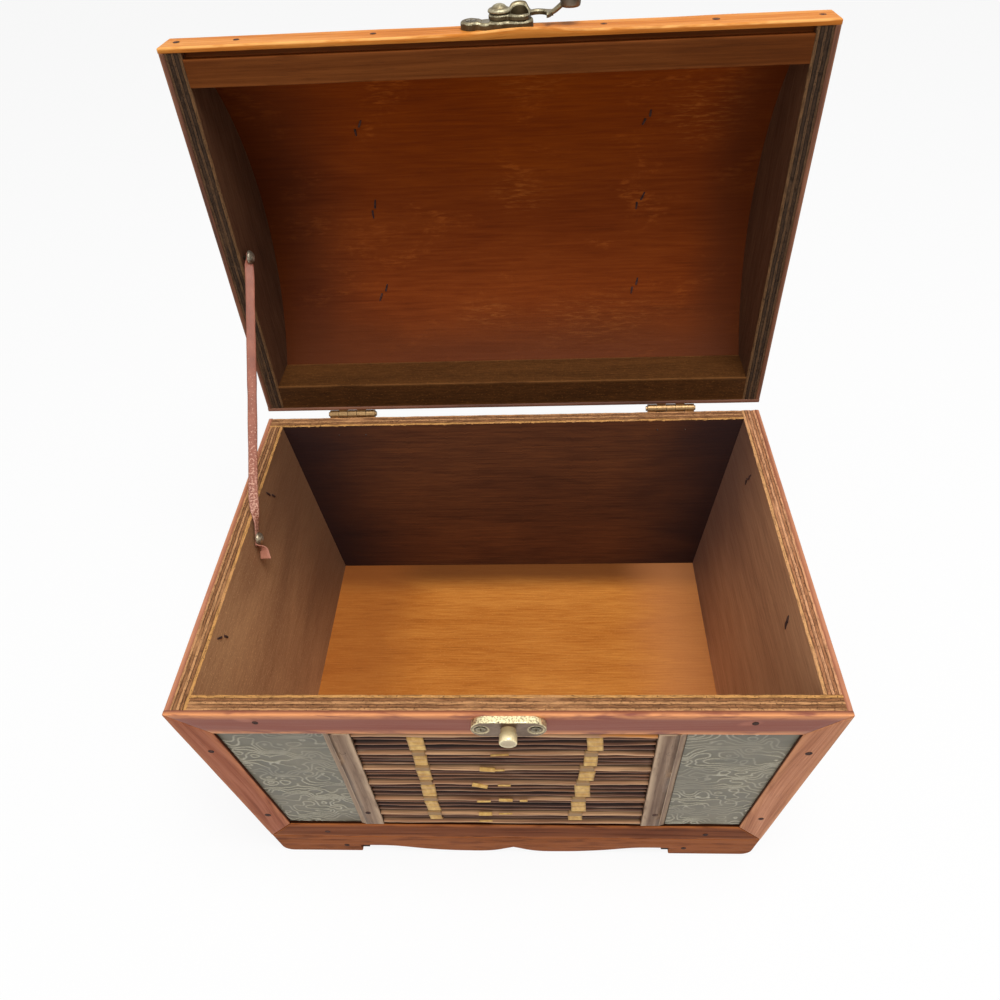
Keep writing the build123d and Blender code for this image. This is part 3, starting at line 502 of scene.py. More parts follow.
def wood(name, dark, middle, light, fibre=(14, 520, 520), rings=0.35, ring_width=5.0, pore=0.35,
         speckle=None, wear=None, toward_tints=(), rough=(0.42, 0.62), knots=(), on_object=False, patches=None,
         flaked=None, shine=0.25, painted_crevice_shade=False):
    """Wood whose fibres run along x of the grain coordinates.

    speckle, wear: (colour, share). patches, where the stained finish has gone: (from, to, colour, share).
    flaked: (colour, share, places), each place (x, y, radius along, radius across) in metres.
    Colours mixed in towards places, most of them painted shade in corners and along edges: (centre in metres,
    scale, from, to, colour, share).
    knots: (x, y, size) in metres."""
    s = Shader(name)
    where = s.where(on_object)
    fine = s.noise(where, fibre, 7.0, 0.62, 0.25)
    broad = s.noise(where, (7, 22, 22), 3.0, 0.5, 0.6)
    waver = s.noise(where, (5, 26, 26), 2.0, 0.5, 0.2)
    height_of = s.node("ShaderNodeSeparateXYZ", [(0, where)], "Y")
    along_rings = height_of * (1000 / ring_width) + waver * 9.0
    ring = s.maths("POWER", s.maths("ABSOLUTE", s.maths("SINE", along_rings)), 2.5)
    value = fine * 0.75 + broad * 0.5 - ring * (rings * 0.35)
    colour = s.ramp(value, [(0.30, dark), (0.52, middle), (0.80, light)])
    pores = s.step(s.noise(where, (110, 2100, 2100), 2.0, 0.5), 0.56, 0.70)
    colour = s.mix(pores * pore, colour, dark)
    if speckle:
        tint, share = speckle
        spots = s.step(s.noise(where, (560, 1000, 1000), 3.0, 0.6), 0.57, 0.68)
        colour = s.mix(spots * share, colour, tint)
    height = fine * 0.8 - pores * 0.5
    if patches:
        low, high, tint, share = patches
        cloud = s.noise(where, (16, 26, 26), 6.0, 0.68, 0.5)
        flakes = s.noise(where, (90, 420, 420), 4.0, 0.6)
        worn = s.step(cloud, low, high) * s.step(flakes, 0.42, 0.62)
        colour = s.mix(worn * share, colour, tint)
    if flaked:
        tint, share, places = flaked
        flake = s.step(s.noise(where, (70, 430, 430), 5.0, 0.72, 0.3), 0.47, 0.66)
        for u, v, long, wide in places:
            ragged = s.distance(where, (u, v, 0), (1 / long, 1 / wide, 0)) + (broad - 0.5) * 1.2
            colour = s.mix(s.step(ragged, 1.1, 0.1) * flake * share, colour, tint)
    # colours mixed in towards places, most of them painted shade in corners and along edges
    for centre, spread, near, far, tint, share in toward_tints:
        ragged = s.distance(where, centre, spread) + (broad - 0.5) * 0.5
        colour = s.mix(s.step(ragged, near, far) * share, colour, tint)
    linear = srgb(dark)
    for u, v, size in knots:
        ragged = s.distance(where, (u, v, 0), (1 / size, 1.6 / size, 0)) + (fine - 0.5) * 0.7
        knot = (linear[0] * 0.6, linear[1] * 0.5, linear[2] * 0.5, 1)
        colour = s.mix(s.step(ragged, 1.9, 0.7, 0.0, 0.75), colour, knot)
    if wear:
        tint, share = wear
        rub = s.noise(where, (40, 160, 160), 3.0, 0.6)
        colour = s.mix(s.attribute("edge") * s.step(rub, 0.30, 0.55) * share, colour, tint)
    # painted shade where mark is high: boards' side faces beside the panels and the back rib's underside
    if painted_crevice_shade:
        crevice_shade_tint = (linear[0] * 0.35, linear[1] * 0.35, linear[2] * 0.4, 1)
        colour = s.mix(s.attribute("mark"), colour, crevice_shade_tint)
    roughness = s.step(value, 0.3, 0.9, rough[0], rough[1])
    return s.finish(colour, roughness, s.bump(height, 0.25, 0.0005), Specular_IOR_Level=shine)


def ply_edge(name, warm, brown, dark, inner, layers=5):
    """Cut edge of plywood; mark runs from 0 to 1 across the layers, the last of them next to the inside."""
    s = Shader(name)
    where = s.where()
    across = s.attribute("mark")
    waver = s.noise(where, (40, 40, 40), 4.0, 0.7)
    stops = []
    for layer in range(layers):
        low, high = layer / layers, (layer + 1) / layers
        tint = inner if layer == layers - 1 else warm if layer % 2 == 0 else brown
        stops += [(low + 0.03, tint), (high - 0.05, tint), (high - 0.015, dark)]
    colour = s.ramp(across + (waver - 0.5) * 0.12, stops[:-1])
    fibres = s.noise(where, (160, 1500, 900), 5.0, 0.7)
    ends = s.noise(where, (800, 700, 900), 3.0, 0.7)
    glow = s.noise(where, (30, 120, 120), 4.0, 0.6)
    flecks = s.noise(where, (500, 900, 900), 3.0, 0.7)
    for field, low, high, share, tint in (
        (fibres, 0.44, 0.62, 0.55, dark), (ends, 0.56, 0.70, 0.85, dark),
        (glow, 0.50, 0.70, 0.55, warm), (flecks, 0.62, 0.72, 0.6, inner),
    ):
        colour = s.mix(s.step(field, low, high, share), colour, tint)
    return s.finish(colour, 0.8, s.bump(fibres - ends * 0.7, 0.9, 0.0007), Specular_IOR_Level=0.15)


def metal(name, base, patina, bright, share=0.5, rough=(0.28, 0.5), metallic=0.9, edge_share=0.9,
          on_object=False):
    """Worn metal: patchy patina, bright on its rims, and painted shade on a casting's sides where mark is
    high.
    """
    s = Shader(name)
    where = s.where(on_object)
    cloud = s.noise(where, (140, 140, 140), 5.0, 0.6, 0.3)
    small = s.noise(where, (900, 900, 900), 4.0, 0.65)
    colour = s.mix(s.step(cloud, 0.38, 0.66, share), base, patina)
    colour = s.mix(s.attribute("edge") * s.step(small, 0.30, 0.58) * edge_share, colour, bright)
    # painted shade on the sides of a casting
    colour = s.mix(s.attribute("mark") * 0.8, colour, patina)
    roughness = s.step(cloud * 0.6 + small * 0.4, 0.3, 0.7, rough[1], rough[0])
    return s.finish(colour, roughness, s.bump(small * 0.6 + cloud * 0.6, 0.18, 0.0003), Metallic=metallic)


def embossed(name):
    """Grey-green sheet whose raised lines are rubbed pale; mark is 1 on the lines."""
    s = Shader(name)
    where = s.where()
    cloud = s.noise(where, (35, 35, 35), 5.0, 0.6, 0.4)
    small = s.noise(where, (900, 900, 900), 3.0, 0.6)
    colour = s.ramp(cloud, [(0.30, (88, 84, 70)), (0.52, (110, 104, 88)), (0.78, (128, 121, 104))])
    line = s.attribute("mark") * s.step(small, 0.25, 0.6, 1.0, 0.6)
    colour = s.mix(line * 0.75, colour, (192, 184, 162))
    colour = s.mix(s.step(small, 0.62, 0.78, 0.2), colour, (80, 74, 64))
    roughness = s.step(cloud + line * -0.25, 0.2, 0.8, 0.58, 0.38)
    return s.finish(colour, roughness, s.bump(small, 0.10, 0.0003), Specular_IOR_Level=0.45)


def bamboo(name):
    """Split bamboo; tone is 0 on a dark rod and 1 on a pale one, mark is painted light across a rod, full on
    its crest, and edge is golden.
    """
    s = Shader(name)
    where = s.where()
    tone, crest = s.attribute("tone"), s.attribute("mark")
    streak = s.noise(where, (18, 700, 700), 6.0, 0.6, 0.2)
    broad = s.noise(where, (26, 60, 60), 4.0, 0.55)
    base = s.ramp(tone, [(0.0, (94, 60, 48)), (0.45, (148, 100, 70)), (1.0, (216, 166, 120))])
    base = s.mix(s.attribute("edge") * 0.85, base, (214, 138, 66))
    low = s.mix(0.5, base, (58, 38, 32))
    high = s.mix(0.35, base, (226, 192, 154))
    colour = s.mix(s.step(streak, 0.38, 0.56), low, base)
    colour = s.mix(s.step(streak * 0.6 + broad * 0.4, 0.54, 0.68), colour, high)
    # painted shade, dark in the valleys between rods and full on their crests, then a painted highlight along
    # each crest
    shade = s.ramp(crest, [(0.0, 0.03), (0.45, 0.26), (0.75, 0.72), (0.92, 1.0)])
    colour = s.mix(1.0, colour, shade, "MULTIPLY")
    colour = s.mix(s.step(crest, 0.93, 1.0, 0.35), colour, (226, 188, 152))
    roughness = s.step(streak, 0.3, 0.7, 0.56, 0.42)
    return s.finish(colour, roughness, s.bump(streak, 0.45, 0.0004), Specular_IOR_Level=0.12)


def straw(name):
    """Straw bands; mark is painted shade in their folds and along their edges, tone is 1 on the ties painted
    in shadow.
    """
    s = Shader(name)
    where = s.where()
    streak = s.noise(where, (340, 120, 60), 4.0, 0.6)
    broad = s.noise(where, (120, 160, 160), 4.0, 0.6)
    stops = [(0.30, (164, 116, 52)), (0.48, (198, 152, 78)), (0.70, (232, 196, 122))]
    colour = s.ramp(streak * 0.5 + broad * 0.5, stops)
    # painted shade in the folds and along the bands' edges
    colour = s.mix(s.attribute("mark") * 0.75, colour, (120, 78, 34))
    # painted shadow on the ties laid over the thick rods
    colour = s.mix(s.attribute("tone") * 0.85, colour, (132, 98, 58))
    roughness = s.step(streak, 0.3, 0.7, 0.52, 0.38)
    return s.finish(colour, roughness, s.bump(streak, 0.5, 0.0004), Specular_IOR_Level=0.35)


def strap_leather(name):
    """Red-brown coated strap that has cracked and flaked where mark is high; tone is its bare end."""
    s = Shader(name)
    where = s.where()
    broad = s.noise(where, (60, 200, 200), 4.0, 0.6)
    flake = s.noise(where, (700, 900, 900), 4.0, 0.7)
    colour = s.ramp(broad, [(0.3, (126, 70, 52)), (0.55, (148, 86, 64)), (0.8, (170, 106, 82))])
    worn = s.attribute("mark") * 0.16 + (flake - 0.12)
    colour = s.mix(s.step(worn, 0.50, 0.60, 0.85), colour, (216, 164, 140))
    colour = s.mix(s.step(flake, 0.40, 0.30, 0.55), colour, (96, 46, 38))
    colour = s.mix(s.attribute("edge") * 0.5, colour, (104, 56, 44))
    colour = s.mix(s.attribute("tone"), colour, (212, 146, 122))
    return s.finish(colour, s.step(flake, 0.3, 0.7, 0.62, 0.42), s.bump(flake + broad * 0.5, 0.5, 0.0004))


def plain(name, colour, shade, rough, scale=400.0, metallic=0.0):
    s = Shader(name)
    cloud = s.noise(s.where(on_object=True), (scale, scale, scale), 5.0, 0.65)
    tint = s.mix(s.step(cloud, 0.35, 0.68), colour, shade)
    roughness = s.step(cloud, 0.3, 0.7, rough + 0.12, rough)
    return s.finish(tint, roughness, s.bump(cloud, 0.2, 0.0003), Metallic=metallic)


PINE = wood("pine", (162, 94, 74), (220, 142, 112), (244, 174, 138), wear=((228, 152, 96), 0.9), pore=0.3,
            knots=((0.135, 0.038, 0.0035), (0.41, 0.042, 0.004)), painted_crevice_shade=True, shine=0.3, rings=0.2)
PINE_SIDE = wood("pine_side", (114, 64, 46), (160, 98, 72), (188, 124, 94), wear=((206, 140, 98), 0.65),
                 pore=0.3, painted_crevice_shade=True, shine=0.3)
PINE_LEFT = wood("pine_left", (104, 54, 36), (146, 82, 56), (172, 104, 74), wear=((196, 128, 88), 0.5),
                 pore=0.4, painted_crevice_shade=True, shine=0.08)
PINE_RIGHT = wood("pine_right", (122, 72, 48), (172, 110, 76), (202, 138, 100), wear=((216, 152, 108), 0.5),
                  painted_crevice_shade=True, shine=0.15)
PINE_LOW = wood("pine_low", (62, 27, 11), (104, 51, 20), (136, 74, 34), wear=((172, 100, 50), 0.7), pore=0.4,
                painted_crevice_shade=True, shine=0.06)
# the lid's pine is painted brighter and more orange than the body's: painted light from above
PINE_LID_LIT = wood("pine_lid_painted_light", (150, 80, 26), (196, 116, 42), (222, 152, 72), wear=((238, 176, 102), 0.75),
                shine=0.08)
LID_TRIM = wood("lid_trim", (58, 36, 26), (98, 60, 42), (136, 88, 62), wear=((150, 100, 70), 0.6), pore=0.5)
GREY = wood("batten_wood", (78, 54, 40), (122, 95, 74), (156, 128, 102), wear=((190, 162, 132), 0.9),
            pore=0.5, fibre=(16, 420, 420), ring_width=3.0)
FLOOR = wood("floor_ply", (140, 76, 24), (184, 108, 38), (212, 138, 60), pore=0.25, fibre=(40, 900, 900),
             rings=0.1, on_object=True, speckle=((226, 156, 84), 0.35), shine=0.1,
             # painted shade along the floor's back edge, then darker towards the left and lighter towards the
             # right
             toward_tints=(((0, 0.079, 0), (0.0, 28.0, 0.0), 1.0, 0.3, (98, 54, 24), 0.9),
                    ((-0.14, 0, 0), (14.0, 0.0, 0.0), 1.0, 0.2, (150, 84, 36), 0.5),
                    ((0.15, 0, 0), (14.0, 0.0, 0.0), 1.0, 0.1, (196, 128, 78), 0.6)))
# the back wall's inside is painted dark as shade, and darker still at both corners: painted shade
BACK_IN_SHADED = wood("back_ply", (56, 32, 22), (88, 52, 34), (116, 70, 42), pore=0.3, fibre=(30, 700, 700),
               rings=0.1, rough=(0.5, 0.66), shine=0.12,
               toward_tints=(((0.142, 0, 0), (9.0, 0, 0), 1.0, 0.1, (46, 32, 33), 0.9),
                      ((0.516, 0, 0), (9.0, 0, 0), 1.0, 0.1, (46, 32, 33), 0.9)))
LEFT_IN = wood("left_ply", (140, 98, 68), (176, 130, 92), (200, 154, 110), fibre=(60, 900, 900), rings=0.1,
               speckle=((238, 192, 142), 0.7), shine=0.12,
               # painted shade at the wall's far end, in the corner
               toward_tints=(((0.455, 0, 0), (5.0, 0, 0), 1.0, 0.1, (104, 72, 52), 0.8),))
RIGHT_IN = wood("right_ply", (152, 112, 84), (192, 144, 108), (216, 168, 128), fibre=(30, 700, 700),
                rings=0.2, speckle=((180, 140, 100), 0.25), shine=0.12,
                # painted shade in the back corner
                toward_tints=(((0.526, 0, 0), (7.0, 0, 0), 1.0, 0.1, (112, 84, 74), 0.85),))
OUT_PLY = wood("outer_ply", (76, 46, 28), (116, 72, 42), (146, 96, 58), pore=0.4, fibre=(20, 600, 600),
               rings=0.3)
CEILING_FLAKES = (
    (0.067, 0.090, 0.070, 0.030), (-0.017, 0.081, 0.034, 0.018), (0.135, -0.070, 0.036, 0.034),
    (0.021, -0.097, 0.030, 0.018), (0.010, -0.013, 0.030, 0.020),
)
CEILING = wood("lid_ceiling", (92, 36, 4), (114, 46, 4), (134, 60, 8), pore=0.25, fibre=(22, 420, 420),
               rings=0.06, shine=0.08, patches=(0.52, 0.68, (168, 86, 26), 0.55),
               flaked=((182, 104, 40), 0.42, CEILING_FLAKES),
               # painted shade towards both end walls and towards the back rib
               toward_tints=(((-0.17, 0, 0), (13.0, 0, 0), 1.0, 0.1, (60, 24, 8), 0.7),
                      ((0.17, 0, 0), (24.0, 0, 0), 1.0, 0.1, (80, 36, 14), 0.65),
                      ((0, 0.125, 0), (0, 15.0, 0), 1.0, 0.2, (82, 38, 12), 0.75)))
LID_WALL_IN = wood("lid_wall_ply", (50, 30, 20), (80, 52, 36), (104, 72, 50), pore=0.4, fibre=(40, 700, 700),
                   rings=0.1, shine=0.12)
RIB = wood("lid_rib", (66, 32, 9), (85, 42, 12), (106, 57, 21), pore=0.25, rings=0.03, shine=0.05,
           wear=((120, 66, 28), 0.5))
RIB_BACK = wood("lid_back_rib", (54, 31, 14), (70, 42, 19), (96, 59, 29), fibre=(90, 500, 500), shine=0.05,
                rings=0.03, wear=((128, 84, 44), 0.6), speckle=((132, 86, 42), 0.5), painted_crevice_shade=True)
EDGE = ply_edge("ply_edge", (200, 146, 98), (150, 102, 66), (70, 42, 24), (208, 152, 88))
EDGE_R = ply_edge("ply_edge_right", (220, 160, 116), (182, 124, 84), (84, 50, 32), (220, 164, 108))
EDGE_LID = ply_edge("ply_edge_lid", (92, 66, 44), (62, 44, 30), (24, 17, 12), (112, 80, 50))
SHEET = embossed("embossed_sheet")
CANE = bamboo("split_bamboo")
STRAW = straw("straw")
CAST = metal("cast_brass", (112, 98, 70), (60, 50, 30), (200, 192, 160), share=0.6, rough=(0.34, 0.55),
             metallic=0.75, edge_share=0.62)
PALE_BRASS = metal("pale_brass", (126, 106, 88), (94, 76, 62), (250, 236, 186), share=0.6, rough=(0.3, 0.5),
                   edge_share=1.0)
# the stud's side is painted lighter than its end face: painted light from above on the same brass
STUD_SIDE_LIT = metal("stud_brass_painted_light", (232, 208, 156), (190, 164, 118), (252, 240, 196), metallic=0.45)
STUD_FACE = metal("stud_face", (190, 172, 140), (154, 136, 108), (244, 232, 190), metallic=0.5)
KNOB = metal("knob_metal", (106, 92, 78), (62, 54, 46), (160, 146, 124), share=0.8, rough=(0.35, 0.55))
HINGE = metal("hinge_brass", (146, 116, 78), (98, 76, 50), (226, 196, 146), rough=(0.3, 0.45), on_object=True)
SCREW = metal("screw_metal", (150, 138, 112), (70, 62, 50), (200, 190, 160), share=0.8, on_object=True)
SCREW_TIP = plain("screw_dark", (66, 44, 30), (40, 26, 20), 0.5, metallic=0.4)
NAIL = plain("nail_dark", (74, 42, 32), (30, 18, 14), 0.9)
STRAP_NAIL = metal("strap_nail_metal", (126, 108, 84), (62, 52, 42), (226, 214, 188), share=0.7, metallic=0.7)
# the rivet's dome is a darker copy of the nail's metal: painted shade
STRAP_RIVET_SHADED = metal("strap_rivet_metal_painted_shade", (84, 70, 56), (40, 34, 28), (226, 214, 188), share=0.8, metallic=0.7)
STRAP = strap_leather("strap_leather")
# the foot blocks are painted dark: painted shade behind the base boards
FOOT_SHADED = plain("foot_wood_painted_shade", (52, 34, 24), (32, 22, 18), 0.7, 300.0)

# ------------------------------------------------------------------ boards, battens and embossed sheets
JOINT = 0.4  # half of the open line where two boards of the front frame meet
BATTEN_CHAMFER = (3.8, 1.7)


def frame_quads(outer, inner, gap=0.0):
    """The four boards of a frame, mitred, with half a gap at each end."""
    for index in range(4):
        after = (index + 1) % 4
        ends = np.array([outer[index], outer[after]], float)
        joint = gap * (ends[1] - ends[0]) / np.linalg.norm(ends[1] - ends[0])
        yield [ends[0] + joint, ends[1] - joint, inner[after] - joint, inner[index] + joint]


def box_corners(left, right, first, second):
    return [(left, first), (right, first), (right, second), (left, second)]


def figure(u, v, seed):
    """Field whose whole values are the sheets' contour lines, drawn out sideways like the figure of wood."""
    broad = 2.7 * noise(u / 19 + seed, v / 15, seed)
    fine = 1.7 * noise(u / 9.0 + 3 * seed, v / 6.5, 9.1) + 0.2 * noise(u / 3.2, v / 2.6, seed)
    return v / 6.2 + broad + fine


def emboss(u, v, seed):
    """Height from 0 to 1 of the thin raised contour lines."""
    field = figure(u, v, seed)
    steep = np.hypot(figure(u + 0.3, v, seed) - field, figure(u, v + 0.3, seed) - field) / 0.3
    away = np.abs((field + 0.5) % 1 - 0.5) / np.maximum(steep, 0.13)
    patchy = 0.30 + 0.70 * smooth(-0.45, 0.30, noise(u / 23, v / 19, seed + 4.4))
    return smooth(0.75, 0.2, away) * patchy


def add_relief(build, corners, place, seed, cell=0.5):
    """Embossed sheet over a quad, with walls down to its back."""
    a, b, c, d = (np.array(p, float) for p in corners)
    nu, nv = int(np.linalg.norm(b - a) / cell), int(np.linalg.norm(d - a) / cell)
    s, t = shares(nu, nv)
    low = a + (b - a) * s[..., None]
    high = d + (c - d) * s[..., None]
    flat = low + (high - low) * t[..., None]
    u, v = flat[..., 0], flat[..., 1]
    lines = emboss(u, v, seed)
    dent = 0.12 * fractal(u / 11, v / 11, seed)
    rim = np.minimum(np.minimum(s, 1 - s) * nu, np.minimum(t, 1 - t) * nv)
    w = RELIEF - 0.45 + 0.55 * lines * smooth(0, 3, rim) + dent
    index = grid_index(s)
    border = grid_border(index)
    front = place(u.ravel(), v.ravel(), w.ravel())
    back = place(u.ravel()[border], v.ravel()[border], np.zeros(len(border)))
    start, n = len(front), len(border)
    faces = grid_faces(index)
    for k in range(n):
        m = (k + 1) % n
        faces.append((int(border[k]), int(border[m]), start + m, start + k))
    left = [start] + [start + n - k for k in range(1, nv + 1)]
    right = [start + nu + k for k in range(nv + 1)]
    faces.append(tuple(start + k for k in range(nu + 1)) + (right[1], left[1]))
    faces += [(left[k], left[k + 1], right[k + 1], right[k]) for k in range(1, nv - 1)]
    faces.append(tuple(start + nu + nv + k for k in range(nu + 1)) + (left[-2], right[-2]))
    grain = np.stack([u, v, w], -1).reshape(-1, 3) + STEP_OFF * seed
    marks = np.concatenate([lines.ravel(), lines.ravel()[border]])
    build.add(np.concatenate([front, back]), faces, np.concatenate([grain, grain[border]]), mark=marks)


# ------------------------------------------------------------------ cane
# how far each thick rod lies from an even pitch
FRONT_SHIFTS = (2.1, -5.2, -3.2, 0.4, -0.5, -1.6, 0.0)
OTHER_SHIFTS = (0.0, 1.1, -0.9, 1.4, -0.4, 0.8, 0.0)
ROD_STATIONS, ROD_STEPS = 64, 13
# the ties over the thick rods are painted in shadow
SHADOWED_TIE_OVER = 2.5  # height of the ties over the thick rods
LOOSE_STRAWS = (  # middle across, drop below the rim, length, turn, half width
    (-11.2, 66.1, 9.5, -0.12, 1.5), (-17.3, 89.0, 10.0, -0.35, 1.4), (-16.3, 112.7, 9.0, 0.05, 0.7),
    (-16.6, 133.5, 9.0, 0.0, 1.4), (-2.8, 46.5, 11.0, 0.1, 0.7), (-4.8, 66.8, 8.0, 0.05, 0.6),
    (-2.0, 88.8, 8.0, 0.0, 0.6), (-2.0, 110.8, 9.0, -0.05, 1.1), (-3.0, 132.5, 9.0, 0.05, 0.6),
    (-17.0, 145.5, 9.0, 0.05, 0.6), (9.6, 111.6, 5.0, 0.05, 0.7),
)


def cane_rows(low, high, shifts):
    """Rods of one panel as (v, radius, whether it is thick), and the stretch of thin rods of each row."""
    span = high - low - 2 * THICK - ROD_GAP
    count = int(span / PITCH)
    lowest = low + ROD_GAP / 2 + THICK
    thick = [lowest + row * span / count + shifts[row % len(shifts)] for row in range(count + 1)]
    rods = [(v, THICK, 1) for v in thick]
    bands = [(below + THICK, above - THICK) for below, above in zip(thick, thick[1:])]
    open_end = [(low, thick[0] - THICK)] if thick[0] - THICK - low > 2.5 else []
    for start, end in bands + open_end:
        number = max(1, min(3, round((end - start) / 4.4)))
        room = (end - start) / number
        radius = min(room / 2 - 0.08, 1.08 * THIN)
        rods += [(start + room * (thin + 0.5), radius, 0) for thin in range(number)]
    return rods, bands


def add_rod(build, v, radius, kind, half, place, seed, golden=None):
    """One split rod, flat at the back, crooked and uneven, its crest nearer to its lower edge."""
    rng = np.random.default_rng(seed)
    x = np.linspace(-half, half, ROD_STATIONS)
    slant = rng.uniform(-0.3, 0.3) if kind else rng.uniform(-0.75, 0.75)
    wander = slant * x / half + (0.3 if kind else 0.5) * noise(x / 34 + seed * 1.7, seed * 0.37)
    grow = 1 + 0.10 * noise(x / 26 + seed * 2.1, 4.0) + 0.05 * noise(x / 6 + seed, 8.0)
    squash = rng.uniform(0.84, 1.0) if kind else rng.uniform(0.7, 1.08)
    crest, fullness, fall = (1.75, 0.62, 0.8) if kind else (1.25, 0.8, 1.7)
    around = (1 - np.cos(pi * np.linspace(0, 1, ROD_STEPS + 1))) / 2
    points, grain, lit = [], [], []
    for i in range(ROD_STATIONS):
        for k, share in enumerate(around):
            ridge = 1 + 0.05 * float(noise(k * 1.3 + seed, x[i] / 60, seed))
            across = (1 - 2 * share) * radius * min(grow[i], 1.06)
            hump = sin(pi * share**crest) ** fullness if 0 < share < 1 else 0.0
            high = hump * (radius * grow[i] - SINK) * squash * ridge
            points.append((x[i], v + wander[i] + across, high))
            grain.append((x[i] + 300 * seed, across + 9.0 * seed, high))
            # lit is painted light across the rod: dark at its sides, full on its crest
            lit.append((hump if share**crest < 0.5 else hump**3) ** fall)
    base = rng.uniform(0.60, 1.0) if kind else rng.uniform(0.0, 0.34)
    tones = base + 0.16 * noise(np.repeat(x, ROD_STEPS + 1) / 22 + seed, 2.0)
    points = np.array(points)
    gold = 0.0 if golden is None else smooth(golden - 1.5, golden + 1.5, points[:, 0])
    faces = ring_faces(ROD_STATIONS, ROD_STEPS + 1)
    build.add(put(place, points), faces, grain, gold, np.clip(tones, 0, 1), lit)


def add_tie(build, x, low, high, place, seed, width=TIE_W, over=0.0, painted_shadow=0.0):
    """Straw band laid over the thin rods of one row, or over a thick one, tucked down at both ends."""
    rng = np.random.default_rng(seed + 500)
    wide = width * rng.uniform(0.92, 1.12)
    skew = rng.uniform(-0.09, 0.09)
    s, t = shares(8, 26)
    s = s - 0.5
    low, high = low - 0.4, high + 0.4
    v = low + (high - low) * t
    u = x + s * wide + skew * (v - (low + high) / 2) + 0.12 * noise(t * 6 + seed, s * 3, seed)
    bumps = np.abs(np.sin(pi * (v - low - 0.4) / ((high - low - 0.8) / 3)))
    lift = over or 1.45 + 0.4 * bumps**0.6
    tuck = smooth(0, 0.09, t) * smooth(0, 0.09, 1 - t)
    w = 0.25 + (lift - 0.05) * tuck + 0.08 * noise(u * 0.9 + seed, v * 0.6, seed)
    index = grid_index(s)
    faces, n = grid_faces(index), s.size
    border = [int(i) for i in grid_border(index)]
    sides = [(i, j, n + j, n + i) for i, j in zip(border, border[1:] + border[:1])]
    faces += [[n + i for i in reversed(face)] for face in faces] + sides
    u, v, w, s, t = (values.ravel() for values in (u, v, w, s, t))
    grain = np.column_stack([u + 50 * seed, v, np.zeros(n)])
    fold = rng.uniform(0.42, 0.66)
    # painted shade in a fold across the band and along its edges
    fold_shade = 0.7 * np.exp(-(((t - fold - 0.06 * s) / 0.035) ** 2)) * (over == 0)
    marks = np.clip(0.8 * fold_shade + 0.6 * smooth(0.36, 0.5, np.abs(s)), 0, 1)
    points = np.concatenate([place(u, v, w + 0.35), place(u, v, w)])
    build.add(points, faces, np.tile(grain, (2, 1)), 0.0, painted_shadow, np.tile(marks, 2))


def add_loose_straws(build, place):
    for number, (x, drop, long, turn, wide) in enumerate(LOOSE_STRAWS):
        half_way = np.array([long / 2 * cos(turn), long / 2 * sin(turn)])
        line = np.linspace(np.array([x, -drop]) - half_way, np.array([x, -drop]) + half_way, 7)
        path = place(line[:, 0], line[:, 1], np.full(7, 3.3 + 0.1 * (number % 3)))
        inner = wide * 0.7
        flat = [(wide, 0.0), (inner, 0.4), (-inner, 0.4), (-wide, 0.0), (-inner, -0.3), (inner, -0.3)]
        add_tube(build, path, lambda k: flat, up=(0, -0.8, 0.6), seed=number + 3)


def add_cane(name, body, place, low, high, half, tie_x, seed, is_front):
    """Rods and straw ties of one panel; the front has its own spacing, a golden rod end and loose straws."""
    rods, bands = cane_rows(low, high, FRONT_SHIFTS if is_front else OTHER_SHIFTS)
    top_v = max(rod[0] for rod in rods)
    build = Builder()
    for number, (v, radius, kind) in enumerate(rods):
        golden = tie_x + TIE_W / 2 if is_front and v == top_v else None
        add_rod(build, v, radius, kind, half, place, seed + number, golden)
    build.done(f"{name}_cane_rods", body, CANE, [f"{name}_cane_rods"])
    build = Builder()
    for number, (start, end) in enumerate(bands):
        from_top = len(bands) - 1 - number
        for side in (-1, 1):
            x = side * tie_x + (2 - TIE_DRIFT * from_top if side > 0 else 0)
            own = seed + 7 * number + side
            add_tie(build, x, start, end, place, own)
            if from_top:
                # tie over the thick rod, painted in shadow
                add_tie(build, x, end + 1.4, end + 2 * THICK, place, own + 900, TIE_W * 0.94, SHADOWED_TIE_OVER, 1.0)
    if is_front:
        add_loose_straws(build, place)
    build.done(f"{name}_straw_ties", body, STRAW, [f"{name}_cane_ties"])


def dress(name, body, place, batten_x, batten_v, battens, batten_seed, sheets, sheet_seeds, cell, cane_v,
          tie_x, seed):
    """Battens, embossed sheets and cane of one face.

    battens is the battens' CAD node, and sheets gives the corners of each sheet."""
    build = Builder()
    for number, side in enumerate((-1, 1)):
        left, right = side * batten_x - BATTEN / 2, side * batten_x + BATTEN / 2
        high, low = batten_v
        quad = [(left, high), (left, low), (right, low), (right, high)]
        add_board(build, quad, place, batten_seed + number, wobble=0.25, chamfer=(number, *BATTEN_CHAMFER))
    build.done(f"{name}_batten_wood", body, GREY, [battens])
    build = Builder()
    for corners, sheet_seed in zip(sheets, sheet_seeds):
        add_relief(build, corners, place, sheet_seed, cell)
    build.done(f"{name}_embossed_sheets", body, SHEET, [f"{name}_relief_panels"])
    add_cane(name, body, place, *cane_v, batten_x - BATTEN / 2 - 0.4, tie_x, seed, name == "front")


# ------------------------------------------------------------------ base boards
# share of the reach, height
SCALLOP = [(0, 9.5), (0.12, 3.4), (0.33, 1.9), (0.55, 4.4), (0.8, 10.2), (1, 10.5)]


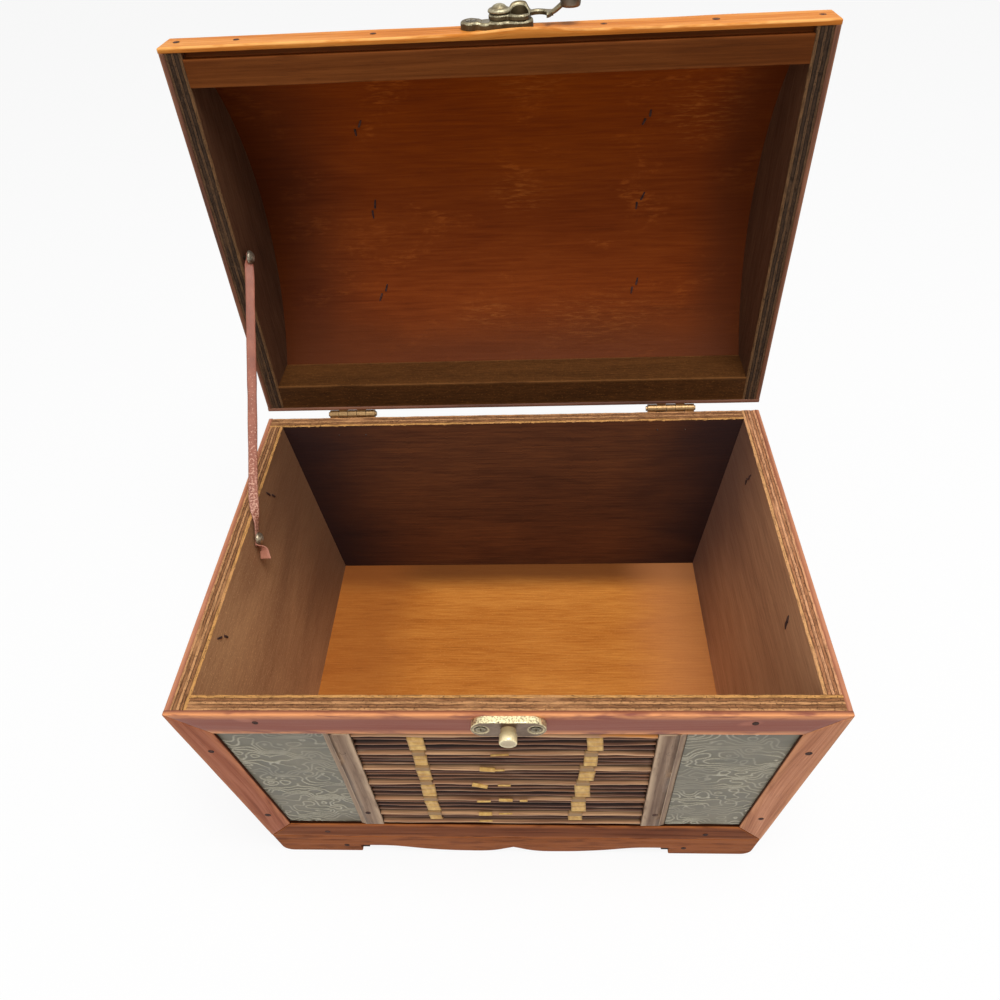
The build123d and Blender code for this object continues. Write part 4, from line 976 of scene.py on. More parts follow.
def scallop_curve(reach):
    """Smooth curve through the points of the scallop, from the middle out."""
    xs, zs = (np.array(values) for values in zip(*SCALLOP))
    xs = xs * reach
    slopes = np.gradient(zs, xs)
    curve = []
    for x in np.linspace(0, reach, 60)[1:]:
        k = min(len(xs) - 2, int(np.searchsorted(xs, x, side="right") - 1))
        room = xs[k + 1] - xs[k]
        t = (x - xs[k]) / room
        start, start_slope = 2 * t**3 - 3 * t**2 + 1, t**3 - 2 * t**2 + t
        end, end_slope = -2 * t**3 + 3 * t**2, t**3 - t**2
        z = start * zs[k] + start_slope * room * slopes[k]
        z = z + end * zs[k + 1] + end_slope * room * slopes[k + 1]
        curve.append((x, z))
    return curve


def base_outline(half_low, half_high, foot, height, corner_r=0.0):
    """Outline of a base board, its feet's outer corners rounded off."""
    reach = half_low - foot
    right = scallop_curve(reach) + [(reach, 4.0), (reach + 0.3, 0.0), ((reach + half_low) / 2, 0.0)]
    lean = (half_high - half_low) / height
    if corner_r:
        for a in (-pi / 2 + k / 6 * pi / 2 for k in range(7)):
            z = corner_r + corner_r * sin(a)
            right.append((half_low - corner_r + corner_r * cos(a) + lean * z, z))
    else:
        right.append((half_low, 0.0))
    right += [((half_low + half_high) / 2, height / 2), (half_high, height)]
    right += [(half_high * (1 - k / 8), height) for k in range(1, 8)]
    return np.array([SCALLOP[0]] + right + [(0, height)] + [(-x, z) for x, z in reversed(right)])


def add_base(name, place, floor_v, outline, seed):
    build = Builder()
    add_plate(build, outline, shifted(place, floor_v), seed)
    build.done(f"{name}_base_wood", "chest", PINE_LOW, [f"{name}_base_board"])


# ------------------------------------------------------------------ front and sides of the body
BASE_GAP = 0.15
top_v, low_v = -RAIL, LOW_H + RAIL
outer = [(lean_x(side, 0, z), z - RIM_Z) for side, z in ((-1, RIM_Z), (1, RIM_Z), (1, BASE_H), (-1, BASE_H))]
corners = ((-1, top_v), (1, top_v), (1, low_v), (-1, low_v))
inner = [(lean_x(side, STILE, RIM_Z + v), v) for side, v in corners]
parts = (("top_rail", PINE), ("right_stile", PINE_RIGHT), ("bottom_rail", PINE_LOW),
         ("left_stile", PINE_LEFT))
for number, ((part, material), quad) in enumerate(zip(parts, frame_quads(outer, inner, JOINT))):
    build = Builder()
    add_board(build, quad, on_front, number + 1, r=0.5, inner=0.9)
    build.done(f"front_{part}_wood", "chest", material, [f"front_{part}"])
sheets = []
for side in (-1, 1):
    near = side * (BATTEN_X + BATTEN / 2)
    far = [(lean_x(side, STILE, RIM_Z + v), v) for v in (low_v, top_v)]
    sheets.append([(near, low_v), *far, (near, top_v)])
dress("front", "chest", on_front, BATTEN_X, (top_v - BATTEN_GAP, low_v + BATTEN_GAP), "front_battens", 11,
      sheets, (2.3, 2.3 + 3.1), 0.5, (low_v, top_v), TIE_X, 20)
low_x, high_x = lean_x(1, 0, 0), lean_x(1, 0, BASE_H)
front_outline = base_outline(low_x, high_x, FRONT_FOOT, BASE_H - BASE_GAP, corner_r=7.0)
add_base("front", on_front, -RIM_Z, front_outline, 5)

side_half = (RIM_D - TRIM) / 2
side_low = slope(LOW_H)
side_floor = -slope(RIM_Z - TRIM * sin(FLARE))
side_low_v = side_low + RAIL
side_outline = base_outline(side_half, side_half, SIDE_FOOT, side_low - side_floor - BASE_GAP)
near, far = SIDE_BATTEN + BATTEN / 2, side_half - STILE
for side, name in ((-1, "left"), (1, "right")):
    place = on_side(side)
    add_base(name, place, side_floor, side_outline, 6 + side)
    build = Builder()
    corners = box_corners(-side_half, side_half, 0, side_low)
    inside = np.array(box_corners(-far, far, top_v, side_low_v))
    for number, quad in enumerate(frame_quads(corners, inside)):
        add_board(build, quad, place, 30 + number + 5 * side, r=0.5, inner=0.9)
    build.done(f"{name}_frame_wood", "chest", PINE_SIDE, [f"{name}_side_frame"])
    sheets = [box_corners(*sorted((at * near, at * far)), side_low_v, top_v) for at in (-1, 1)]
    batten_v = (top_v - BATTEN_GAP, side_low_v + BATTEN_GAP)
    sheet_seeds = (9.4 + 5.3 * side, 9.4 + 2.7 + 5.3 * side)
    dress(name, "chest", place, SIDE_BATTEN, batten_v, f"{name}_side_battens", 40 + 5 * side,
          sheets, sheet_seeds, 0.5, (side_low_v, top_v), SIDE_TIE, 120 + 60 * side)


# ------------------------------------------------------------------ plywood panels with open edges
PLY_LAYERS, PLY_CELL, PLY_ACROSS = 5, 0.9, 26


def layer_height(along, across, seed, rough):
    """Height of a cut plywood edge: a shallow groove at each glue line, and torn fibres between them."""
    part = np.abs((across * PLY_LAYERS + 0.5) % 1 - 0.5)
    groove = -0.35 * (1 - smooth(0.0, 0.13, part)) * (across > 0.03) * (across < 0.97)
    torn = rough * fractal(along / 5.5 + seed * 9, across * 14, seed, 3)
    is_cross = np.floor(across * PLY_LAYERS) % 2 == 1
    chips = -0.6 * smooth(0.42, 0.75, noise(along / 3.1 + seed * 4, across * 9, seed + 2)) * is_cross
    return groove + torn * 0.7 + chips


def add_ply(build, place, length, seed, far, rough=0.22):
    """Panel whose cut edge faces out. place(s, t, h) takes shares along and across, and a height of the edge;
    far(s, t) gives the same point of the panel's other edge."""
    s, t = shares(int(length / PLY_CELL), PLY_ACROSS)
    h = layer_height(s * length, t, seed, rough) - 0.25
    h = h - 0.35 * (1 - smooth(0, 0.05, np.minimum(t, 1 - t)))
    index = grid_index(s)
    s, t, h = s.ravel(), t.ravel(), h.ravel()
    top = place(s, t, np.minimum(h, 0.12))
    build.add(top, grid_faces(index), np.column_stack([s * length, t * 10, h]) + 71.0 * seed, mark=t)
    for row, share, material in ((index[:, 0], 0.0, 1), (index[:, -1], 1.0, 2)):  # outer and inner face
        upper, n = top[row], len(row)
        lower = far(s[row], np.full(n, share))
        high = np.linalg.norm(upper - lower, axis=1)
        steps = np.linspace(0, 1, 5)
        points = np.concatenate([upper + (lower - upper) * k for k in steps])
        layer = np.full(n, share * 10)
        grain = np.concatenate([np.column_stack([s[row] * length, high * k, layer]) for k in steps])
        walls = [[k * n + i for i in face] for k in range(4) for face in strip_faces(n)]
        build.add(points, walls, grain + 71.0 * seed, material=material, soft=False)
    for row, at in ((index[0, :], 0.0), (index[-1, :], 1.0)):  # the two ends
        upper, n = top[row], len(row)
        lower = far(np.full(n, at), t[row])
        high = np.linalg.norm(upper - lower, axis=1)
        grain = np.concatenate([np.column_stack([z, t[row] * 10, np.zeros(n)]) for z in (np.zeros(n), high)])
        points, mark = np.concatenate([upper, lower]), np.tile(t[row], 2)
        build.add(points, strip_faces(n), grain + 71.0 * seed, mark=mark, soft=False)
    foot = far(np.array([0.0, 1.0, 1.0, 0.0]), np.array([0.0, 0.0, 1.0, 1.0]))
    build.add(foot, [(0, 1, 2, 3)], material=1, soft=False)


def wall_piece(name, x_lines, ys, along_x, edge, inside, seed):
    """Wall of the body between two leaning lines, each (side, inset), and two y values."""

    def point(s, t, z):
        x0, x1 = (lean_x(side, inset, z) for side, inset in x_lines)
        kx, ky = (s, t) if along_x else (t, s)
        return np.stack(np.broadcast_arrays(x0 + (x1 - x0) * kx, ys[0] + (ys[1] - ys[0]) * ky, z), -1)

    rim = [lean_x(side, inset, RIM_Z) for side, inset in x_lines]
    length = abs(rim[1] - rim[0]) if along_x else ys[1] - ys[0]
    build = Builder()
    add_ply(build, lambda s, t, h: point(s, t, RIM_Z + h), length, seed, lambda s, t: point(s, t, WALL_FOOT))
    build.done(f"{name}_ply", "chest", [edge, OUT_PLY, inside], [f"{name}_panel"])


IN = TRIM + WALL
wall_piece("front", ((-1, IN), (1, TRIM)), (PLY_Y, PLY_Y + WALL), True, EDGE, LEFT_IN, 1.0)
wall_piece("back", ((-1, TRIM), (1, IN)), (BACK_Y, BACK_Y - WALL), True, EDGE, BACK_IN_SHADED, 2.0)
wall_piece("left", ((-1, TRIM), (-1, IN)), (PLY_Y, BACK_Y - WALL), False, EDGE, LEFT_IN, 3.0)
wall_piece("right", ((1, TRIM), (1, IN)), (PLY_Y + WALL, BACK_Y), False, EDGE_R, RIGHT_IN, 4.0)


# ------------------------------------------------------------------ lid: end walls, ribs and top
def arch_height(y, radius):
    return ARCH_Z + np.sqrt(radius**2 - (y - MID_Y) ** 2)


for side, name, seed in ((-1, "left", 5.0), (1, "right", 6.0)):
    x_out, x_in = side * (INNER_X + WALL), side * INNER_X

    def lid_wall_point(s, t, h=None):
        """Point of the wall's edge at height h over the lid's underside, or under the bent panel."""
        y = PLY_Y + (LID_BACK - PLY_Y) * s
        return on_lid(x_out + (x_in - x_out) * t, y, arch_height(y, INNER_R) if h is None else LID_Z - h)

    build = Builder()
    add_ply(build, lid_wall_point, LID_BACK - PLY_Y, seed, lid_wall_point, rough=0.3)
    build.done(f"lid_{name}_ply", "lid", [EDGE_LID, OUT_PLY, LID_WALL_IN], [f"lid_{name}_wall"])


def add_rib(build, section, seed, r=0.5, step=6.0, underside_shade=0.0):
    """Bar across the lid with a (y, z) section whose corners are rounded off.

    The last argument paints shade on its underside."""
    corners = np.array(section, float)
    line, edge = [], []
    for k, here in enumerate(corners):
        to_before, to_after = corners[k - 1] - here, corners[(k + 1) % len(corners)] - here
        back, ahead = np.linalg.norm(to_before), np.linalg.norm(to_after)
        to_before, to_after = to_before / back, to_after / ahead
        if abs(np.cross(to_before, to_after)) > 0.35:
            cut = min(r, back * 0.3, ahead * 0.3)
            p, q = here + to_before * cut, here + to_after * cut
            near_p = here + to_before * (cut + min(1.2, back * 0.15))
            near_q = here + to_after * (cut + min(1.2, ahead * 0.15))
            line += [near_p, p, here * 0.5 + (p + q) * 0.25, q, near_q]
            edge += [0, 1, 1, 1, 0]
        else:
            line.append(here)
            edge.append(0)
    line = np.array(line)
    size = len(line)
    count = max(4, int(2 * INNER_X / step))
    run = np.concatenate([[0], np.cumsum(np.linalg.norm(np.diff(line, axis=0), axis=1))])
    rows, grain = [], []
    for k in range(count + 1):
        x = -INNER_X + 2 * INNER_X * k / count
        shift = 0.12 * noise(x * 0.02 + seed, run * 0.05, seed)
        y, z = line[:, 0] + shift * 0.6, line[:, 1] + np.abs(shift) * 0.3
        rows.append(np.column_stack([np.full(size, x), y, z]))
        grain.append(np.column_stack([np.full(size, x), run, np.zeros(size)]) + 57.0 * seed)
    # painted shade on the bar's underside
    dark = np.tile(np.where(line[:, 1] < line[:, 1].min() + 0.3, underside_shade, 0.0), count + 1)
    points, faces = put(on_lid, np.concatenate(rows)), ring_faces(count + 1, size)
    build.add(points, faces, np.concatenate(grain), edge * (count + 1), mark=dark, soft=False)


rib_low, notch, notch_z = LID_Z + 0.2, PLY_Y + 3.7, LID_Z + 5.0
for name, node, material, near, far, seed, underside_shade in (
    ("lid_front_rib", "lid_front_batten", RIB, PLY_Y, PLY_Y + 18.8, 1.3, 0.0),
    ("lid_back_rib", "lid_back_batten", RIB_BACK, LID_BACK - 20.0, LID_BACK, 2.6, 0.3),
):
    under_arch = [(y, arch_height(y, INNER_R)) for y in np.linspace(far, near, 8)]
    if near == PLY_Y:
        section = [(notch, rib_low), (far, rib_low)] + under_arch + [(near, notch_z), (notch, notch_z)]
    else:
        section = [(near, rib_low), (far, rib_low)] + under_arch
    build = Builder()
    add_rib(build, section, seed, underside_shade=underside_shade)
    build.done(name, "lid", material, [node])


def bent(x, a, radius):
    """Point of the bent panel, which is cut off level above the lid's underside."""
    return on_lid(x, MID_Y + radius * np.sin(a), np.maximum(ARCH_Z + radius * np.cos(a), LID_Z + 8.0))


build = Builder()
arch_angles = np.linspace(asin(-ARCH_HALF / ARCH_R), asin(ARCH_HALF / ARCH_R), 90)
x, a = np.meshgrid(np.linspace(-PLY_HALF, PLY_HALF, 81), arch_angles, indexing="ij")
faces = grid_faces(grid_index(x))
grain = np.column_stack([x.ravel(), a.ravel() * ARCH_R, np.zeros(x.size)])
build.add(bent(x.ravel(), a.ravel(), INNER_R), faces, grain)
build.add(bent(x.ravel(), a.ravel(), ARCH_R), [face[::-1] for face in faces], grain, material=1)
for x in (-PLY_HALF, PLY_HALF):
    points = np.concatenate([bent(x, arch_angles, radius) for radius in (INNER_R, ARCH_R)])
    build.add(points, strip_faces(len(arch_angles)), mark=0.5, material=2, soft=False)
for a in (arch_angles[0], arch_angles[-1]):
    points = [bent(x, a, radius) for radius in (INNER_R, ARCH_R) for x in (-PLY_HALF, PLY_HALF)]
    build.add(points, [(0, 1, 3, 2)], mark=0.5, material=2, soft=False)
build.done("lid_top_ply", "lid", [CEILING, OUT_PLY, EDGE_LID], ["lid_top_panel"])


# ------------------------------------------------------------------ lid: boards round the edge, and the arch
def on_bowed_front(u, v, w):
    """The lid's front rail stands away a little under the hasp."""
    bow = 2.2 * np.exp(-(((u - 16) / 26) ** 2)) * smooth(7.0, 1.0, v)
    return on_lid_front(u, v, w + bow * (w > 0.5))


def lid_boards(name, node, material, boards):
    """One piece of the lid from boards, each (quad, place, seed, other values)."""
    build = Builder()
    for quad, place, seed, values in boards:
        add_board(build, quad, place, seed, **values)
    build.done(name, "lid", material, [node])


v_near, v_far = arch_v(PLY_Y + 0.3), arch_v(LID_BACK - 0.3)
v_in_near, v_in_far = arch_v(PLY_Y + RAIL), arch_v(LID_BACK - RAIL)
x_out, x_in = RIM_W / 2, RIM_W / 2 - STILE
rail_quad = box_corners(-x_out, x_out, LID_RAIL, 0)
trim_quad = box_corners(-ARCH_HALF, ARCH_HALF, SPRING - 0.4, 0)
top_rails = [[(-x_out, v), (x_out, v), (x_in, v_in), (-x_in, v_in)]
             for v, v_in in ((v_near, v_in_near), (v_far, v_in_far))]
top_ends = [[(side * x_out, v_near), (side * x_out, v_far), (side * x_in, v_in_far), (side * x_in, v_in_near)]
            for side in (-1, 1)]
lid_boards("lid_front_rail_wood", "lid_front_rail", PINE_LID_LIT,
           [(rail_quad, on_bowed_front, 51, dict(r=0.9, wobble=0.2, across=12))])
lid_boards("lid_back_trim_wood", "lid_back_trim", LID_TRIM, [(rail_quad, on_lid_back, 52, {})])
lid_boards("lid_side_trim_wood", "lid_side_trims", LID_TRIM,
           [(trim_quad, on_lid_side(side), 54 + side, {}) for side in (-1, 1)])
lid_boards("lid_top_rail_wood", "lid_top_rails", PINE_LID_LIT,
           [(quad, on_arch, 61 + number, dict(across=6)) for number, quad in enumerate(top_rails)])
lid_boards("lid_end_board_wood", "lid_top_end_boards", PINE_SIDE,
           [(quad, on_arch, seed, {}) for quad, seed in zip(top_ends, (63, 65))])
sheets = [box_corners(*sorted((side * (BATTEN_X + BATTEN / 2), side * x_in)), v_in_near, v_in_far)
          for side in (-1, 1)]
cane_start = arch_v(PLY_Y + RAIL, COVER_R)
dress("lid", "lid", on_arch, BATTEN_X, (v_in_near + BATTEN_GAP, v_in_far - BATTEN_GAP), "lid_top_battens", 67,
      sheets, (15.2, 15.2 + 3.3), 0.65, (cane_start, -cane_start), TIE_X, 300)

# ------------------------------------------------------------------ nails
# radius, height over the wood
NAIL_PROFILE = [(1.9, -0.5), (2.0, 0.10), (1.75, 0.22), (1.5, 0.10), (1.35, 0.02), (0.9, 0.10)]


def add_nail(build, place, u, v, seed):
    """Sunk nail: a torn rim of wood, and a dark head below it."""
    wide = np.random.default_rng(int(seed * 10) + 900).uniform(0.9, 1.12)
    profile = [(0.2, TRIM - 0.6)] + [(r * wide, TRIM + w) for r, w in NAIL_PROFILE] + [(0.2, TRIM + 0.12)]
    add_lathe(build, profile, place, (u, v), 18, edge=[0, 0, 0, 1, 0, 0, 0, 0], seed=seed)


def nails(name, body, node, spots):
    """spots: (place, u, v, seed) of each nail."""
    build = Builder()
    for spot in spots:
        add_nail(build, *spot)
    build.done(name, body, NAIL, [node])


front_nails = [(-139.0, -8.5), (139.0, -8.5), (-131.0, LOW_H + 8.5), (134.0, LOW_H + 8.5)]
front_nails += [(u, LOW_H - 17.0) for u in (-122.0, 122.0)]
front_nails += [(lean_x(side, STILE / 2, RIM_Z + v), v) for side in (-1, 1) for v in (-44.0, -139.0)]
front_nails += [(side * BATTEN_X, v) for side in (-1, 1) for v in (-45.0, -134.0)]
side_nails = [(u, slope(v)) for half, v in ((88.0, -10.5), (80.0, LOW_H + 10.5)) for u in (-half, half)]
side_nails += [(at * (side_half - STILE / 2), slope(v)) for at in (-1, 1) for v in (-44.0, -139.0)]
side_nails += [(u, slope(LOW_H - 8.5)) for u in (-86.0, 86.0)]
spots = [(on_front, u, v, number) for number, (u, v) in enumerate(front_nails)]
for side in (-1, 1):
    spots += [(on_side(side), u, v, 20 + number + 10 * side) for number, (u, v) in enumerate(side_nails)]
nails("body_nail_heads", "chest", "body_nails", spots)
rail_nails = (-182.0, -147.0, -68.0, 62.0, 124.0, 182.0)
spots = [(on_lid_front, u, 11.0, 50 + number) for number, u in enumerate(rail_nails)]
nails("lid_nail_heads", "lid", "lid_nails", spots)


# ------------------------------------------------------------------ staples
def circle_points(count):
    return [(cos(b), sin(b)) for b in np.linspace(0, 2 * pi, count + 1)[:-1]]


def add_staple(build, origin, x_dir, y_dir, out, turn, seed):
    """Clinched staple: its two wire ends hammered flat against the wood."""
    rng = np.random.default_rng(int(seed) + 70)
    x_dir, y_dir, out = (np.array(a, float) for a in (x_dir, y_dir, out))
    ring = circle_points(8)
    k = np.linspace(0, 1, 9)[:, None]
    size = 0.72 * (1 - 0.35 * k[:, 0] ** 3)
    for leg in (-1, 1):
        a = turn + rng.uniform(-0.25, 0.25)
        start = origin + x_dir * leg * rng.uniform(0.9, 1.5) * sin(turn) + y_dir * leg * 1.2 * cos(turn)
        way = x_dir * cos(a) + y_dir * sin(a)
        length = rng.uniform(4.8, 6.4)
        rise = 0.35 * np.sin(pi * np.clip(k * 1.15, 0, 1)) + 0.12
        path = start + way * leg * 0.6 + way * leg * length * k + out * rise
        add_tube(build, path, lambda i: [(p * size[i], q * size[i]) for p, q in ring], up=out,
                 seed=seed + leg)


WALL_STAPLES = {  # y, drop and turn of each, by side
    -1: ((184.7, 14.1, 1.0), (60.4, 12.1, 1.0)),
    1: ((74.0, 19.4, 2.1), (200.0, 19.6, 1.4)),
}
build = Builder()
for side, staples in WALL_STAPLES.items():
    lean = np.array([-side * cos(FLARE), 0, sin(FLARE)])
    up = np.array([side * sin(FLARE), 0, cos(FLARE)])
    for number, (y, drop, turn) in enumerate(staples):
        origin = np.array([lean_x(side, IN, RIM_Z - drop), FRONT_Y + y, RIM_Z - drop])
        add_staple(build, origin, (0, -1, 0), up, lean, turn, 3 * number + side)
build.done("wall_staple_ends", "chest", NAIL, ["body_staples"])
build = Builder()
for number, (x, angle) in enumerate(product((-BATTEN_X, BATTEN_X), (-23.0, -1.0, 21.0))):
    a = radians(angle)
    spot, deeper = (on_lid(x, MID_Y + r * sin(a), ARCH_Z + r * cos(a)) for r in (INNER_R, INNER_R - 1))
    inward = deeper - spot
    add_staple(build, spot, (1, 0, 0), np.cross(inward, np.array([1.0, 0, 0])), inward, 1.35, 30 + number)
build.done("lid_staple_ends", "lid", NAIL, ["lid_staples"])


# ------------------------------------------------------------------ cast catch, hasp and hook
def blend_max(a, b, k=1.2):
    h = np.clip(0.5 + 0.5 * (a - b) / k, 0, 1)
    return b * (1 - h) + a * h + k * h * (1 - h)


def circle(x, y, cx, cy, r):
    return r - np.hypot(x - cx, y - cy)


def capsule(x, y, a, b, ra, rb):
    dx, dy = b[0] - a[0], b[1] - a[1]
    k = np.clip(((x - a[0]) * dx + (y - a[1]) * dy) / (dx * dx + dy * dy), 0, 1)
    return (ra + (rb - ra) * k) - np.hypot(x - a[0] - dx * k, y - a[1] - dy * k)


def rim_wear(x, y, depth):
    return np.clip(1 - depth / 0.9, 0, 1)


def add_cast(build, inside, height, box, place, base=0.0, cell=0.35, wear=rim_wear, side_rub_and_highlight=0.0,
             side_shade=1.0):
    """Plate where inside(x, y) is above 0, its front at base + height(x, y, depth)."""
    x0, x1, y0, y1 = box
    nx, ny = int((x1 - x0) / cell), int((y1 - y0) / cell)
    x, y = np.meshgrid(np.linspace(x0, x1, nx + 1), np.linspace(y0, y1, ny + 1), indexing="ij")
    for _ in range(3):  # the points just outside are drawn onto the outline
        d = inside(x, y)
        gx = (inside(x + 0.01, y) - inside(x - 0.01, y)) / 0.02
        gy = (inside(x, y + 0.01) - inside(x, y - 0.01)) / 0.02
        size = np.maximum(gx**2 + gy**2, 1e-4)
        near = (d < 0) & (d > -cell * 1.05)
        x = np.where(near, x - d * gx / size, x)
        y = np.where(near, y - d * gy / size, y)
    d = inside(x, y).ravel()
    quads = np.array(grid_faces(grid_index(x)))
    quads = quads[(d > -0.02)[quads].all(1)]
    used, quads = np.unique(quads, return_inverse=True)
    quads = quads.reshape(-1, 4).tolist()
    px, py, depth = x.ravel()[used], y.ravel()[used], np.maximum(d[used], 0)
    h = height(px, py, depth)
    n = len(used)
    open_edges = {}
    for q in quads:
        for a, b in zip(q, q[1:] + q[:1]):
            key = (min(a, b), max(a, b))
            open_edges[key] = None if key in open_edges else (a, b)
    border = sorted({a for pair in open_edges.values() if pair for a in pair})
    at = {a: number for number, a in enumerate(border)}
    m = len(border)
    sides = [(at[a], at[b], m + at[b], m + at[a]) for a, b in filter(None, open_edges.values())]
    backs = [(n + q[3], n + q[2], n + q[1], n + q[0]) for q in quads]
    points = np.concatenate([place(px, py, base + h), place(px, py, np.full(n, base))])
    grain = np.column_stack([px, py, h])
    worn = wear(px, py, depth)
    build.add(points, quads + backs, np.tile(grain, (2, 1)), np.concatenate([worn, 0 * worn]))
    rim = np.array(border)
    rim_grain = np.concatenate([grain[rim], grain[rim] * [1, 1, 0]])
    # the sides take painted shade, and pale rubbed wear with a painted highlight
    build.add(np.concatenate([points[rim], points[n + rim]]), sides, rim_grain, side_rub_and_highlight, 0.0, side_shade)


PIVOT_X, PIVOT_V, PIVOT_HOLE = 4.0, 13.0, 2.6  # the hook's pivot on the lid's front
RING_X, RING_R, RING_HOLE = 11.2, 7.6, 5.0
LOBE_X, LOBE_R = 16.2, 6.2
HASP_THICK, ARM_THICK, KNOB_X = 4.2, 2.6, 39.5
ARM_LOW = HASP_THICK + 0.35
CATCH_V, CATCH_SCREW, CATCH_R, CATCH_HALF, CATCH_THICK = -8.3, 15.25, 7.9, 21.0, 4.2
STUD_D = PIVOT_V + LID_Z - RIM_Z - CATCH_V  # from the pivot to the stud of the shut trunk


def on_hasp(u, v, w):
    """Plane of the lid's front trim face, about the hook's pivot."""
    return on_lid_front(u + PIVOT_X, v + PIVOT_V, w + TRIM)


def on_catch(u, v, w):
    """Face of the front top rail, about the middle of the catch plate."""
    return on_front(u + PIVOT_X, v + CATCH_V, w + TRIM)


def catch_inside(x, y):
    d = CATCH_R - np.hypot(np.maximum(np.abs(x) - CATCH_HALF + CATCH_R, 0), y)
    return d + 0.12 * fractal(x / 5, y / 5, 3.3, 3)


def catch_height(x, y, depth):
    corner = 0.5 - 0.5 * rounded(depth, 0.5)
    dish = 0.75 * smooth(4.1, 3.4, np.hypot(np.abs(x) - CATCH_SCREW, y))
    return CATCH_THICK - corner - dish + 0.03 * fractal(x, y, 1.7, 2)


def catch_wear(x, y, depth):
    from_screw = np.hypot(np.abs(x) - CATCH_SCREW, y)
    ring = smooth(0.75, 0.25, np.abs(from_screw - 4.3)) * 0.55
    return np.clip(1 - depth / 0.75, 0, 1) + ring * (depth > 0.7)


def hasp_inside(x, y):
    d = circle(x, y, -LOBE_X, 0, LOBE_R)
    for cx, r in ((-8.0, 5.2), (0, RING_R), (RING_X, RING_R)):
        d = blend_max(d, circle(x, y, cx, 0, r), 4.0)
    wavy = d + 0.35 * np.cos(0.75 * x)
    return np.minimum(np.minimum(wavy, np.hypot(x - RING_X, y) - RING_HOLE), np.hypot(x, y) - PIVOT_HOLE)


def hasp_height(x, y, depth):
    rise = HASP_THICK * np.minimum(1, rounded(depth, 1.3) * 0.32 + 0.68)
    dish = 0.9 * smooth(2.2, 3.6, depth) * (np.hypot(x + LOBE_X, y) < LOBE_R)
    screw = 1.0 * smooth(3.1, 2.7, np.hypot(x + LOBE_X, y))
    waist = 0.7 * smooth(3.5, 1.5, np.abs(x + 8.6))
    return rise - dish * 0.6 - screw * 0.4 - waist


def arm_inside(x, y):
    d = circle(x, y, 0, 0, 6.2)
    d = blend_max(d, circle(x, y, RING_X, 0, RING_R), 1.6)
    d = blend_max(d, circle(x, y, STUD_D, 0.4, 7.2), 1.2)
    d = blend_max(d, capsule(x, y, (STUD_D + 3, 2.5), (29.0, 2.5), 2.6, 2.3), 1.2)
    d = np.minimum(d, np.hypot(x - RING_X, y) - RING_HOLE)
    angle = np.clip(np.arctan2(y, x), -radians(60), 0)
    slot = np.hypot(x - STUD_D * np.cos(angle), y - STUD_D * np.sin(angle)) - 4.7
    return np.minimum(-blend_max(-d, -slot, 1.4), np.hypot(x, y) - PIVOT_HOLE)


def arm_height(x, y, depth):
    waves = 0.15 * np.cos(x * 0.9) * smooth(0.5, 1.5, depth)
    far_side = 0.52 * np.maximum(y + 1.5, 0) * smooth(2.5, 7.0, x) * smooth(18.0, 14.5, x)  # of the ring
    return ARM_THICK * (0.62 + 0.38 * rounded(depth, 1.1)) + waves + far_side


build = Builder()
catch_box = (-22, 22, -8.6, 8.6)
# the catch's sides are painted pale: rubbed wear and a painted highlight of its lit top edge, with no painted
# shade
add_cast(build, catch_inside, catch_height, catch_box, on_catch, wear=catch_wear, side_rub_and_highlight=0.9, side_shade=0)
build.done("catch_plate_casting", "chest", PALE_BRASS, ["catch_plate"])

build = Builder()
stud_side = [(0.3, CATCH_THICK - 1.0), (WAIST_R, CATCH_THICK - 1.0), (WAIST_R, HEAD_FROM - 0.2),
             (HEAD_R, HEAD_FROM), (HEAD_R, STUD_OUT - 0.7), (HEAD_R - 0.2, STUD_OUT - 0.2),
             (HEAD_R - 0.6, STUD_OUT)]
add_lathe(build, stud_side, on_catch, (0, 0), 48, edge=[0, 0, 0, 0.3, 0.6, 1, 1], caps=False)
stud_face = [(HEAD_R - 0.6, STUD_OUT), (HEAD_R - 1.2, STUD_OUT - 0.05), (2.0, STUD_OUT - 0.1),
             (0.2, STUD_OUT - 0.1)]
add_lathe(build, stud_face, on_catch, (0, 0), 48, edge=[1, 0.35, 0, 0], caps=False, material=1)
build.done("catch_stud_turned", "chest", [STUD_SIDE_LIT, STUD_FACE], ["catch_stud"])

build = Builder()
# the hasp's sides get painted shade
add_cast(build, hasp_inside, hasp_height, (-23.5, 20.0, -8.6, 8.6), on_hasp, side_shade=0.6)
build.done("hasp_casting", "lid", CAST, ["hasp_plate"])

build = Builder()
add_cast(build, arm_inside, arm_height, (-6.6, 30.0, -8.2, 8.6), on_hasp, ARM_LOW, side_shade=0.5)
k = np.linspace(0, 1, 22)
neck = on_hasp(27.0 + 12.5 * k, 2.5 - 2.0 * k, ARM_LOW + 1.2 + (8.6 + 0.9 - ARM_LOW) * smooth(0.08, 0.85, k))
neck_ring = np.array(circle_points(12))
out = on_hasp(0.0, 0.0, 1.0) - on_hasp(0.0, 0.0, 0.0)
add_tube(build, neck, lambda i: neck_ring * (2.3 - 0.3 * sin(pi * k[i]), 1.3 + 0.25 * k[i]), up=out, edge=0.3)
build.done("hook_casting", "latch", CAST, ["latch_arm"])
build = Builder()
knob = [(0.3, 8.7), (4.7, 8.7), (5.3, 9.1), (5.6, 10.0), (5.8, 12.0), (5.8, 16.4), (5.5, 17.6), (4.7, 18.3),
        (3.0, 18.6), (0.3, 18.6)]
add_lathe(build, knob, on_hasp, (KNOB_X, 0.5), 36, edge=[0, 0, 0.4, 0.3, 0, 0, 0.5, 0.5, 0.2, 0.2])
build.done("hook_knob", "latch", KNOB)
build = Builder()
seat = HASP_THICK + 0.7 + ARM_THICK
